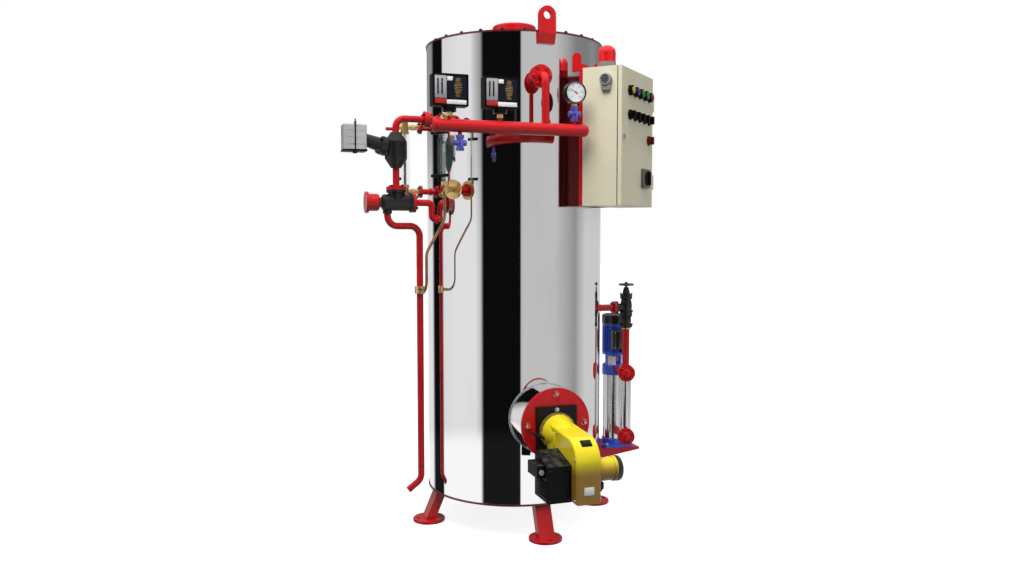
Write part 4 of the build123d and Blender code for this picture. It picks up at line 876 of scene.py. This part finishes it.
SWITCH_TRIM = {
    "scales": GREY_PLATE, "slots": RUBBER, "panes": NAVY, "works": BRONZE,
    "white_marks": WHITE, "red_marks": RED_TAG, "bellows": GAUGE_BLACK,
}
trim = {label: Piece() for label in SWITCH_TRIM}
BELLOWS = [(0.028 + 0.004 * (k % 2), 0.0025 * k) for k in range(9)]
for x in switch_x:
    trim["scales"].box(on_switch(x, -0.044, 0.012, 0.0008), (0.052, 0.096, 0.0016), 0.0004)
    for across in (-0.056, -0.038):
        trim["slots"].box(on_switch(x, across, 0.014, 0.0018), (0.007, 0.066, 0.0012), 0.0003)
    trim["panes"].box(on_switch(x, 0.027, 0.012, 0.0006), (0.088, 0.096, 0.0012), 0.0003)
    coil_at = Vector((x + COIL_ACROSS, switch_face - COIL_WIRE, switch_mid_z + COIL_LOW))
    works = trim["works"]
    works.swept([coil_at + coil_point(k) for k in range(COIL_STEPS * COIL_TURNS + 1)], COIL_WIRE, 8)
    works.rod(coil_at + DOWN * 0.012, UP, 0.0022, COIL_TALL + 0.024, 16, 0.0005)
    for up in (-0.005, COIL_TALL + 0.005):
        works.box(on_switch(x, COIL_ACROSS, COIL_LOW + up, 0.002), (0.022, 0.008, 0.004), 0.001)
    trim["white_marks"].box(on_switch(x, -0.003, 0.048, 0.0014), (0.024, 0.018, 0.0014), 0.0003)
    trim["white_marks"].box(on_switch(x, 0.027, -0.051, 0.0008), (0.088, 0.019, 0.0016), 0.0004)
    trim["red_marks"].box(on_switch(x, -0.044, -0.049, 0.0008), (0.052, 0.020, 0.0016), 0.0004)
    trim["bellows"].turned(place((x, (switch_low.y + switch_high.y) / 2, switch_low.z)), BELLOWS, 40)
for label, finish in SWITCH_TRIM.items():
    trim[label].done("switch_" + label, "black_plastic", finish)

TICKS = 25
NUMBERS = 6
DIAL_FROM = radians(225)
DIAL_SWEEP = radians(270)
POINTER_TURN = radians(150)
gauge_low = low("pressure_gauge")
gauge_high = high("pressure_gauge")
GAUGE_R = (gauge_high.x - gauge_low.x) / 2
DIAL_R = GAUGE_R - 0.006
gauge_at = Vector((middle("pressure_gauge").x, gauge_low.y, gauge_high.z - GAUGE_R))
gauge_face = place(gauge_at, FRONT)


def dial_ray(turn):
    return Vector((cos(turn), 0, sin(turn)))


dial = Piece().turned(raised(gauge_face, -0.003), [(DIAL_R, 0.0), (DIAL_R, 0.0012)], 64)
dial.done("gauge_dial", "gauge_black", WHITE)
ticks = []
for k in range(TICKS):
    ray = dial_ray(DIAL_FROM - DIAL_SWEEP * k / (TICKS - 1))
    wide, tall = (0.0024, 0.008) if k % 5 == 0 or k == TICKS - 1 else (0.0012, 0.005)
    at = gauge_at + BACK * 0.0016 + ray * (DIAL_R - 0.004 - tall / 2)
    ticks.append(slat(at, FRONT, ray, (wide, tall, 0.0004)))
slats("gauge_ticks", ticks, "gauge_black", RUBBER)


def digits(text, at, size):
    """Mesh of a number on a gauge, upright in the frame's xy plane."""
    curve = bpy.data.curves.new("digits", "FONT")
    curve.body = text
    curve.size = size
    curve.align_x = "CENTER"
    curve.align_y = "CENTER"
    curve.extrude = 0.0002
    mesh = plain_mesh(add("digits", curve))
    mesh.transform(at)
    return mesh


numbers = Piece()
for k in range(NUMBERS):
    ray = dial_ray(DIAL_FROM - DIAL_SWEEP * k / (NUMBERS - 1))
    number_at = place(gauge_at + BACK * 0.0015 + ray * (DIAL_R - 0.018), FRONT)
    numbers.take(digits(str(2 * k), number_at, 0.009))
numbers.done("gauge_numbers", "gauge_black", RUBBER)
pointer_at = gauge_at + BACK * 0.0014
pointer_outline = [(-0.0022, -0.012), (0.0022, -0.012), (0.0006, 0.034), (-0.0006, 0.034)]
pointer = Piece().plate(place(pointer_at, FRONT, dial_ray(POINTER_TURN)), pointer_outline, 0.0006)
pointer.rod(pointer_at, FRONT, 0.004, 0.0012, 20, 0.0003)
pointer.done("gauge_pointer", "gauge_black", RUBBER)
bezel_profile = [(DIAL_R - 0.001, -0.002), (GAUGE_R - 0.003, 0.002), (GAUGE_R + 0.001, 0.0)]
bezel_profile += [(GAUGE_R + 0.001, -0.009), (GAUGE_R - 0.001, -0.009), (GAUGE_R - 0.001, -0.003)]
Piece().turned(gauge_face, bezel_profile, 64, True).done("gauge_bezel", "gauge_black")
gauge_lens = Piece().turned(gauge_face, [(DIAL_R, -0.0005), (DIAL_R * 0.6, 0.0008), (0, 0.0014)], 48)
gauge_lens.done("gauge_lens", "gauge_glass", clear("dial_glass", tone(240, 246, 248), 0.06))

header_at = middle("steam_header")
Piece().hexagon((gauge_at.x, header_at.y, gauge_low.z), UP, 0.014, 0.012).done("gauge_nut", "brass")
COCK_HALF = 0.034
HANGING_COCK_X = -0.460
levers = Piece()
for x, z in (
    (gauge_at.x, high("header_cocks").z - COCK_HALF), (HANGING_COCK_X, low("header_cocks").z + COCK_HALF)
):
    centre = Vector((x, header_at.y, z))
    levers.rod(centre, FRONT, 0.007, 0.030, 20, 0.001)
    levers.box(place(centre + FRONT * 0.030 + DOWN * 0.010, FRONT), (0.011, 0.044, 0.006), 0.0025)
    for way in (LEFT, RIGHT):
        levers.hexagon(centre + way * 0.020, way, 0.015, 0.008)
levers.done("cock_levers", "blue_cock_paint")
end_profile = [(0.029, -0.004), (0.031, -0.002), (0.031, 0.004), (0.026, 0.010), (0.012, 0.014), (0, 0.015)]
header_end = place((low("steam_header").x, header_at.y, header_at.z), LEFT)
Piece().turned(header_end, end_profile, 40).done("header_end", "red_paint")

# Control cabinet: lamps, switches, lock, hinge screws, horn, beacon and inner panel

DOOR_FACE = reach("cabinet_door", face_way)
cabinet_near = -reach("control_cabinet", -along_way)
cabinet_far = reach("control_cabinet", along_way)
cabinet_top = high("control_cabinet").z
cabinet_low = low("control_cabinet").z
lamp_z = middle("pilot_lamps").z
BEZEL_R = (high("pilot_lamps").z - low("pilot_lamps").z) / 2
lamp_near = -reach("pilot_lamps", -along_way) + BEZEL_R
lamp_far = reach("pilot_lamps", along_way) - BEZEL_R
LAMPS = 5
lamp_sides = [lamp_near + (lamp_far - lamp_near) * k / (LAMPS - 1) for k in range(LAMPS)]


def on_door(side, z, rise=0.0):
    """Frame on the door's face."""
    return place(spot(CABINET_AZ, DOOR_FACE + rise, z, side), face_way)


BEZEL = [(0.014, 0.001), (0.0235, 0.0), (0.024, 0.002), (0.0235, 0.016), (0.0215, 0.019), (0.014, 0.019)]
bezels = Piece()
for side in lamp_sides:
    bezels.turned(on_door(side, lamp_z), BEZEL, 36, True)
bezels.done("lamp_bezels", "lamp_lens", BLACK_PLASTIC, DOOR, ("pilot_lamps",))
LENS = [(0.0160, 0.0), (0.0160, 0.020), (0.0155, 0.0225), (0.0130, 0.0245), (0.0075, 0.0257), (0, 0.026)]
LAMP_ROW = ("yellow", "blue", "green", "green", "red")
LAMP_TONES = {
    "yellow": tone(200, 178, 24),
    "blue": tone(30, 48, 160),
    "green": tone(30, 124, 44),
    "red": tone(150, 20, 24),
}
for label, colour in LAMP_TONES.items():
    caps = Piece()
    for side, wanted in zip(lamp_sides, LAMP_ROW):
        if wanted == label:
            caps.turned(on_door(side, lamp_z), LENS, 32)
    caps.done("lamp_" + label, "lamp_lens", lens("lens_" + label, colour, 0.04), DOOR)

KNOB = [(0.0235, 0.0), (0.0240, 0.006), (0.0225, 0.010), (0.0195, 0.011), (0.0190, 0.018), (0.0, 0.018)]


def selector(piece, side, z):
    """Turn switch: stepped round base with a finger bar across it."""
    piece.turned(on_door(side, z), KNOB, 36)
    return piece.box(on_door(side, z, 0.0235), (0.012, 0.038, 0.013), 0.003)


knobs = Piece()
for side in lamp_sides:
    selector(knobs, side, high("door_knobs").z - BEZEL_R)
knobs.done("selector_knobs", "black_plastic", None, DOOR, ("door_knobs",))
stop_red = plastic("dark_red_plastic", tone(96, 20, 24), 0.35)
stop_knob = selector(Piece(), lamp_sides[-1], low("door_knobs").z + BEZEL_R)
stop_knob.done("stop_knob", "black_plastic", stop_red, DOOR)

main_side = (reach("main_switch", along_way) - reach("main_switch", -along_way)) / 2
main_at = on_door(main_side, middle("main_switch").z)
switch_grey = plastic("switch_grey", tone(104, 101, 94))
main_plate = Piece().box(raised(main_at, 0.008), (0.100, 0.092, 0.016), 0.005, 3)
main_plate.done("main_switch_plate", "grey_plastic", switch_grey, DOOR, ("main_switch",))
main_turn = Piece().turned(main_at, [(0.036, 0.014), (0.036, 0.020), (0.033, 0.023), (0.0, 0.023)], 48)
main_turn.box(raised(main_at, 0.0275), (0.017, 0.066, 0.013), 0.005, 3)
main_turn.done("main_switch_handle", "black_plastic", None, DOOR)
LOCK_SIDE = -0.232
LOCK_Z = 1.923
lock_at = on_door(LOCK_SIDE, LOCK_Z)
lock = Piece().turned(lock_at, [(0.0145, 0.0), (0.0145, 0.003), (0.0120, 0.005), (0.0, 0.005)], 36)
lock.done("door_lock", "beige_paint", STEEL, DOOR)
lock_slot = Piece().box(raised(lock_at, 0.0052), (0.003, 0.014, 0.0012), 0.0004)
lock_slot.done("lock_slot", "beige_paint", RUBBER, DOOR)

panel_side = (cabinet_near + cabinet_far - 0.020) / 2
panel_at = spot(CABINET_AZ, cabinet_back + 0.014, (cabinet_low + cabinet_top) / 2, panel_side)
inner_panel = place(panel_at, face_way)
Piece().box(inner_panel, (0.380, 0.570, 0.002), 0.0006).done("inner_panel", "beige_paint", ZINC_PANEL)
bolts("panel_studs", corner_bolts(inner_panel, 0.175, 0.265, 0.001, 0.006), "beige_paint", STEEL)

HORN_DROP = 0.062
horn_at = spot(CABINET_AZ, DOOR_FACE - 0.075, cabinet_top - HORN_DROP, cabinet_near)
horn_way = -along_way
HORN = [(0.028, 0.0), (0.029, 0.004), (0.029, 0.017), (0.027, 0.022)]
HORN += [(0.0205, 0.0235), (0.0195, 0.020), (0, 0.020)]
horn = Piece().turned(place(horn_at, horn_way), HORN, 48)
horn.box(place(horn_at + DOWN * 0.026 + horn_way * 0.008, horn_way), (0.042, 0.048, 0.016), 0.004)
horn.done("horn_body", "grey_plastic", stands_for=("horn",))
GRILLE_R = 0.0192
grille = []
for up in (-0.015, -0.0075, 0.0, 0.0075, 0.015):
    bar = (2 * sqrt(GRILLE_R**2 - up**2), 0.0028, 0.003)
    grille.append(slat(horn_at + horn_way * 0.0205 + UP * up, horn_way, UP, bar))
slats("horn_grille", grille, "grey_plastic", GAUGE_BLACK)

BEACON_R = (high("beacon_dome").x - low("beacon_dome").x) / 2
BEACON_TALL = high("beacon_dome").z - low("beacon_dome").z
ROUND = 0.037
beacon_mid = middle("beacon_dome")
flutes = [(BEACON_R - 0.0008 * (k % 2), 0.006 + 0.0038 * k) for k in range(9)]
crown = [
    (BEACON_R - ROUND + ROUND * cos(radians(t)), BEACON_TALL - ROUND + ROUND * sin(radians(t)))
    for t in range(0, 91, 9)
]
dome = [(BEACON_R, 0.0), (BEACON_R, 0.004), *flutes, *crown, (0, BEACON_TALL)]
beacon_lens = Piece().turned(place((beacon_mid.x, beacon_mid.y, low("beacon_dome").z)), dome, 48)
beacon_lens.done("beacon_lens", "red_lens", stands_for=("beacon_dome",), crease=60)
socket = [(BEACON_R, 0.0), (BEACON_R + 0.002, 0.002), (BEACON_R + 0.002, 0.017)]
socket += [(BEACON_R, 0.020), (BEACON_R, 0.024)]
beacon_socket = Piece().turned(place((beacon_mid.x, beacon_mid.y, low("beacon_base").z)), socket, 48)
socket_grey = plastic("socket_grey", tone(134, 128, 126))
beacon_socket.done("beacon_socket", "black_plastic", socket_grey, stands_for=("beacon_base",))

HINGE_INSET = 0.090
HINGE_LEN = 0.036
hinge_screws = [
    bolt(spot(CABINET_AZ, DOOR_FACE - 0.045, z + up, cabinet_far), along_way, 0.004)
    for z in (cabinet_low + HINGE_INSET, cabinet_top - HINGE_INSET - 2 * HINGE_LEN)
    for up in (HINGE_LEN / 4, HINGE_LEN * 3 / 4)
]
bolts("hinge_screws", hinge_screws, "beige_paint", STEEL, DOME)

# Level control: switch box trim, arm bolts and flange bolts

box_low = low("level_switch_box")
box_high = high("level_switch_box")
box_mid = (box_low + box_high) / 2
tie_y = box_low.y - 0.003
tie = Piece()
tie.rod((box_mid.x, tie_y, box_low.z - 0.012), UP, 0.0032, box_high.z - box_low.z + 0.032, 14, 0.0006)
tie.hexagon((box_mid.x, tie_y, box_high.z), UP, 0.007, 0.006)
tie.done("box_tie_bolt", "grey_plastic", DARK_STEEL)
base_size = (box_high.x - box_low.x + 0.004, box_high.y - box_low.y + 0.004, 0.010)
base = Piece().box(place((box_mid.x, box_mid.y, box_low.z + 0.004)), base_size, 0.004)
base.hexagon((box_mid.x, box_mid.y - 0.030, box_low.z - 0.001), DOWN, 0.011, 0.010)
base.done("box_base", "grey_plastic", BLACK_PLASTIC)
rib_at = Vector((box_mid.x + 0.004, box_low.y - 0.0004, box_mid.z))
box_ribs = [slat(rib_at + UP * up, FRONT, UP, (0.082, 0.0030, 0.0012)) for up in (-0.030, 0.002, 0.034)]
slats("box_ribs", box_ribs, "grey_plastic", BOX_GREY)

CAP_TO_AXIS = 0.084
LEVEL_X = high("tee_cap").x + CAP_TO_AXIS
ARM_TILT = radians(17)
ARM_FLANGE_AT = 0.050
ARM_FLANGE_T = 0.014
arm_way = Vector((-cos(ARM_TILT), 0, sin(ARM_TILT)))
float_at = Vector((LEVEL_X, LEVEL_Y, middle("float_chamber").z))
arm_bolts = bolt_ring(float_at + arm_way * ARM_FLANGE_AT, -arm_way, 0.0425, 4, 0.0095, 45)
far_flange = ARM_FLANGE_AT + 2 * ARM_FLANGE_T
arm_bolts += bolt_ring(float_at + arm_way * far_flange, arm_way, 0.0425, 4, 0.0095, 45)
bolts("arm_bolts", arm_bolts, "black_paint", GAUGE_BLACK)

FLANGE_T = 0.014
GLASS_FLANGE_FACE = 0.508
tee_high = high("level_tee")
pipe_x = high("level_pipes").x
flange_bolts = bolt_ring((LEVEL_X, LEVEL_Y, tee_high.z + FLANGE_T), UP, 0.037, 4, 0.0065, 45)
flange_bolts += bolt_ring((LEVEL_X, LEVEL_Y, tee_high.z - FLANGE_T), DOWN, 0.043, 4, 0.0055, 45)
flange_bolts += bolt_ring((tee_high.x + FLANGE_T, LEVEL_Y, LEVEL_LOW_Z), RIGHT, 0.037, 4, 0.0065, 45)
for way in (LEFT, RIGHT):
    flange_bolts += bolt_ring((pipe_x + way.x * FLANGE_T, LEVEL_Y, LEVEL_UP_Z), way, 0.030, 4, 0.006, 45)
for azimuth in GLASS_AZIMUTHS:
    for z in (GLASS_UP_Z, GLASS_LOW_Z):
        face = spot(azimuth, GLASS_FLANGE_FACE, z)
        flange_bolts += bolt_ring(face, outward(azimuth), 0.0235, 4, 0.0045, 45)
bolts("flange_bolts", flange_bolts, "red_paint", DARK_STEEL)

DRAIN_RING_DROP = 0.432
boss_at = place((-SHELL_R - 0.068, -0.060, LEVEL_LOW_Z - DRAIN_RING_DROP))
BOSS = [(0.0245, -0.018), (0.027, -0.016), (0.027, -0.006), (0.0255, -0.004)]
BOSS += [(radius, -height) for radius, height in reversed(BOSS)]
Piece().turned(boss_at, BOSS, 36, True).done("drain_boss", "copper", BRASS)

# Gauge glasses: shields, tubes with water, packing nuts and handles

GLASS_R = 0.580
SHIELD_HALF = 0.025
SHIELD_WALL = 0.004
inner = SHIELD_HALF - SHIELD_WALL
SHIELD = [(SHIELD_HALF, -SHIELD_HALF), (SHIELD_HALF, SHIELD_HALF), (-SHIELD_HALF, SHIELD_HALF)]
SHIELD += [(-SHIELD_HALF, -SHIELD_HALF), (-inner, -SHIELD_HALF), (-inner, inner), (inner, inner)]
SHIELD += [(inner, -SHIELD_HALF)]
GLASS_SOCKET = 0.014
glass_low = low("gauge_glasses").z + GLASS_SOCKET
tall = high("gauge_glasses").z - GLASS_SOCKET - glass_low
water_top = tall * 0.55
TUBE = [(0.0056, -0.012), (0.008, -0.012), (0.008, tall + 0.012), (0.0056, tall + 0.012)]
WATER = [(0.0054, -0.010), (0.0054, water_top), (0.0040, water_top - 0.001), (0, water_top - 0.0015)]
DRAIN_CAP = [(0.014, 0), (0.0165, 0.002), (0.0165, 0.010), (0.012, 0.014), (0, 0.015)]
shields, tubes, water, handles, cock_trim, drain_caps = (Piece() for _ in range(6))
for azimuth in GLASS_AZIMUTHS:
    out = outward(azimuth)
    along = sideways(azimuth)
    foot = place(spot(azimuth, GLASS_R, glass_low), UP, out)
    shields.plate(foot, SHIELD, tall)
    tubes.turned(foot, TUBE, 24, True)
    water.turned(foot, WATER, 20)
    drain_caps.turned(place(spot(azimuth, GLASS_R + 0.026, GLASS_LOW_Z), out), DRAIN_CAP, 32)
    for z, inward in ((GLASS_UP_Z, DOWN), (GLASS_LOW_Z, UP)):
        boss = spot(azimuth, GLASS_R, z)
        cock_trim.hexagon(boss + out * 0.016, out, 0.015, 0.012)
        cock_trim.rod(boss + out * 0.026, out, 0.008, 0.012, 20, 0.001)
        cock_trim.hexagon(boss - out * 0.046, out, 0.017, 0.012)
        grip = boss + out * 0.036
        handles.rod(grip - inward * 0.008, inward, 0.0065, 0.066, 16, 0.001)
        handles.rod(grip + inward * 0.060 - along * 0.050, along, 0.0075, 0.100, 18, 0.003)
shields.done("glass_shields", "gauge_glass", stands_for=("gauge_glasses",))
tubes.done("glass_tubes", "gauge_glass", clear("tube_glass", tone(206, 232, 230), 0.22))
water.done("glass_water", "gauge_glass", clear("boiler_water", tone(150, 190, 196), 0.35))
handles.done("cock_handles", "brass", BLACK_PLASTIC)
cock_trim.done("cock_trim", "brass")
drain_caps.done("drain_caps", "brass", RED_PAINT)

# Feed pump and feed line: foot bolts, tie-rod nuts, port bolts, valve bolts and motor trim

pump_at = middle("pump_foot")
feed_at = middle("feed_tube")


def on_pump(z):
    """Point on the pump's upright axis."""
    return Vector((pump_at.x, pump_at.y, z))


def on_line(z):
    """Point on the feed line's upright axis."""
    return Vector((feed_at.x, feed_at.y, z))


pump_bolts = corner_bolts(place(on_pump(low("pump_foot").z)), 0.066, 0.066, 0.014, 0.0095)
pump_bolts += bolt_ring(on_pump(low("pump_head").z + 0.048), UP, 0.054, 4, 0.0068, 45)
bolts("pump_bolts", pump_bolts, "blue_paint", STEEL)

PORT_FLANGE_R = 0.045
PORT_FACE = 0.056
HUB = [(0.0255, 0.0), (0.0250, 0.005), (0.0215, 0.009), (0.014, 0.0115), (0.0, 0.0125)]
port_way = outward(-20)
port_bolts = []
port_hubs = Piece()
for z in (low("feed_ports").z + PORT_FLANGE_R, high("feed_ports").z - PORT_FLANGE_R):
    face = on_line(z) + port_way * PORT_FACE
    port_bolts += bolt_ring(face, port_way, 0.033, 4, 0.0068, 45)
    port_hubs.turned(place(face, port_way), HUB, 36)
bolts("port_bolts", port_bolts, "red_paint")
port_hubs.done("port_hubs", "red_paint")

VALVE_FLANGE_T = 0.012
check_z = low("check_valve").z
valve_z = low("stop_valve").z
feed_x = high("feed_pipe").x - VALVE_FLANGE_T
valve_bolts = bolt_ring(on_line(check_z + VALVE_FLANGE_T), UP, 0.0305, 4, 0.0060, 20)
valve_bolts += bolt_ring(on_line(valve_z + VALVE_FLANGE_T), UP, 0.0320, 4, 0.0058, 20)
valve_bolts += bolt_ring(on_line(valve_z - VALVE_FLANGE_T), DOWN, 0.0305, 4, 0.0060, 20)
valve_bolts += bolt_ring(on_line(valve_z + 0.103), UP, 0.0285, 6, 0.0052)
valve_bolts += bolt_ring((feed_x, feed_at.y, middle("feed_pipe").z), LEFT, 0.0262, 4, 0.0044, 45)
bolts("valve_bolts", valve_bolts, "red_paint", DARK_STEEL)
RING = [(0.0185, 0.0), (0.0225, 0.0015), (0.0225, 0.0095), (0.0185, 0.011)]
riser_ring = Piece().turned(place(on_line(check_z - VALVE_FLANGE_T)), RING, 36, True)
riser_ring.done("riser_ring", "red_paint", BRASS)

GUARD_TURNS = range(-64, -5, 6)
guard_outline = [(outward(turn) * 0.0478).xy for turn in GUARD_TURNS]
guard_outline += [(outward(turn) * 0.0464).xy for turn in reversed(GUARD_TURNS)]
guard_at = Matrix.Translation(on_pump(high("pump_head").z - 0.058))
Piece().plate(guard_at, guard_outline, 0.052).done("lantern_guard", "blue_paint", WHITE)

covers_low = low("motor_covers")
fan_at = on_pump(high("motor_covers").z - 0.0006)
fan_slots = []
for radius, count in ((0.020, 8), (0.040, 18)):
    for k in range(count):
        ray = sideways(360 * k / count)
        fan_slots.append(slat(fan_at + ray * radius, UP, ray, (0.0042, 0.014, 0.002)))
slats("fan_slots", fan_slots, "blue_paint", RUBBER)
lid = place((pump_at.x, covers_low.y - 0.001, covers_low.z + 0.052), FRONT)
Piece().box(lid, (0.074, 0.094, 0.006), 0.0028).done("terminal_lid", "blue_paint", GAUGE_BLACK)
bolts("lid_screws", corner_bolts(lid, 0.031, 0.041, 0.003, 0.0035), "blue_paint", STEEL, DOME)
GLAND_NUT = 0.008
gland_at = Vector((pump_at.x + 0.018, covers_low.y + 0.014, covers_low.z))
gland = Piece().hexagon(gland_at, DOWN, 0.010, GLAND_NUT)
gland.rod(gland_at + DOWN * GLAND_NUT, DOWN, 0.008, 0.012, 20, 0.002)
gland.done("terminal_gland", "blue_paint", RUBBER)

wheel_at = middle("handwheel")
wheel_nut = Piece().hexagon((wheel_at.x, wheel_at.y, high("handwheel").z), UP, 0.0085, 0.007)
wheel_nut.done("wheel_nut", "wheel_paint", STEEL, WHEEL)


# Stage: camera, surroundings, light and floor

IMAGE_W = 1024
CAMERA_AT = Vector((-1.480, -4.298, 1.4925))
CAMERA_AZIMUTH = -19.0
CAMERA_PITCH = 3.80
FOCAL_PX = 866.6
AXIS_PX = 514.1
SENSOR = 36.0


def add_camera():
    data = bpy.data.cameras.new("camera")
    data.sensor_width = SENSOR
    data.lens = FOCAL_PX * SENSOR / IMAGE_W
    data.shift_x = (IMAGE_W / 2 - AXIS_PX) / IMAGE_W
    made = add("camera", data)
    made.location = CAMERA_AT
    made.rotation_euler = (radians(90 - CAMERA_PITCH), 0, radians(CAMERA_AZIMUTH))
    bpy.context.scene.camera = made


# Brightness that polished metal sees round the studio, by azimuth: the floor, level and overhead.
# One black screen stands at the left behind, and one runs from the left to just short of the front.
SCREEN = (0.0097, 0.0037, 0.0037)
ROOM = [
    (-180, 0.9, 0.77, 0.30), (-157, 0.9, 0.77, 0.30), (-150, *SCREEN), (-126, *SCREEN),
    (-125, 1, 0.74, 0.74), (-100, 1, 0.79, 0.79), (-77, 1, 0.79, 0.79), (-70, 1, 0.79, 0.52),
    (-63, 1, 0.55, 0.33), (-59.5, *SCREEN), (-11, *SCREEN), (-10, 1, 0.47, 0.47),
    (-7, 1, 0.55, 0.53), (35, 1, 0.55, 0.53), (50, 1, 0.44, 0.40), (67, 1, 0.30, 0.23),
    (76, 1, 0.46, 0.22), (88, 1, 0.63, 0.21), (104, 1, 0.62, 0.26), (127, 1, 0.61, 0.17),
    (180, 0.9, 0.77, 0.30),
]
WHITE_LIGHT = (1.0, 1.0, 1.0, 1.0)


def light_path(wire, kind):
    """1 for rays of one kind and 0 for others."""
    return wire.node("ShaderNodeLightPath", out="Is " + kind + " Ray")


def room_ramp(wire, turn, column):
    stops = [(row[0] / 360 + 0.5, (row[column],) * 3 + (1.0,)) for row in ROOM]
    return wire.node("ShaderNodeValToRGB", {"stops": stops}, {"Fac": turn}, "Color")


def add_surroundings():
    """White to the camera, screens and panels to polished metal, soft top light to the rest."""
    world = bpy.data.worlds.new("studio")
    world.use_nodes = True
    world.node_tree.nodes.clear()
    bpy.context.scene.world = world
    wire = Wire(world.node_tree)
    way = wire.node("ShaderNodeTexCoord", out="Generated")
    x, y, rise = (wire.node("ShaderNodeSeparateXYZ", inputs={"Vector": way}, out=axis) for axis in "XYZ")
    turn = wire.math("ARCTAN2", x, 0 - y) / (2 * pi) + 0.5
    walls = rise.ease(-0.02, 0.15).blend(room_ramp(wire, turn, 2), room_ramp(wire, turn, 3))
    floor_share = rise.ease(-0.7, -0.36) * 0.25 + 0.75
    floor_seen = floor_share.blend((0.0, 0.0, 0.0, 1.0), room_ramp(wire, turn, 1))
    room = rise.ease(-0.245, -0.22).blend(floor_seen, walls)
    seen = rise.ease(0.4, 0.7).blend(room, WHITE_LIGHT)
    soft = rise.ease(-0.2, 0.95).blend((0.05, 0.05, 0.05, 1), (0.52, 0.52, 0.53, 1))
    plain = wire.math("MAXIMUM", light_path(wire, "Camera"), light_path(wire, "Transmission"))
    colour = plain.blend(light_path(wire, "Glossy").blend(soft, seen), WHITE_LIGHT)
    shader = wire.node("ShaderNodeBackground", inputs={"Color": colour})
    wire.node("ShaderNodeOutputWorld", inputs={"Surface": shader})


def add_lamp(name, at, aim, power, size):
    data = bpy.data.lights.new(name, "AREA")
    data.energy = power
    data.size = size
    made = add(name, data)
    made.location = at
    made.rotation_euler = (Vector(aim) - Vector(at)).to_track_quat("-Z", "Y").to_euler()
    made.visible_glossy = False


def add_floor():
    """Pale floor that looks white and keeps the soft shadow."""
    made, wire = new_finish("pale_floor")
    fleck = noise(wire, 3.0).ease(0.3, 0.7).blend(tone(196, 196, 196), tone(202, 202, 202))
    matt = wire.node("ShaderNodeBsdfDiffuse", inputs={"Color": fleck})
    lift = wire.node("ShaderNodeEmission", inputs={"Color": WHITE_LIGHT, "Strength": 0.86})
    shown = wire.node("ShaderNodeAddShader", inputs={"Shader": matt, "Shader_001": lift})
    dim = wire.node("ShaderNodeBsdfDiffuse", inputs={"Color": (0.12, 0.12, 0.12, 1)})
    shares = {"Fac": light_path(wire, "Camera"), "Shader": dim, "Shader_001": shown}
    close(wire, wire.node("ShaderNodeMixShader", inputs=shares))
    mesh = bmesh.new()
    bmesh.ops.create_grid(mesh, x_segments=2, y_segments=2, size=30)
    data = bpy.data.meshes.new("floor")
    mesh.to_mesh(data)
    mesh.free()
    data.materials.append(made)
    floor = add("floor", data)
    floor.visible_glossy = False


add_camera()
add_surroundings()
add_lamp("key", spot(-36, 2.4, 5.4), (0, -0.2, 1.3), 220, 3.0)
add_lamp("fill", spot(45, 4.5, 2.6), (0, 0, 1.0), 42, 3.0)
add_floor()
bpy.context.scene.view_settings.view_transform = "Standard"
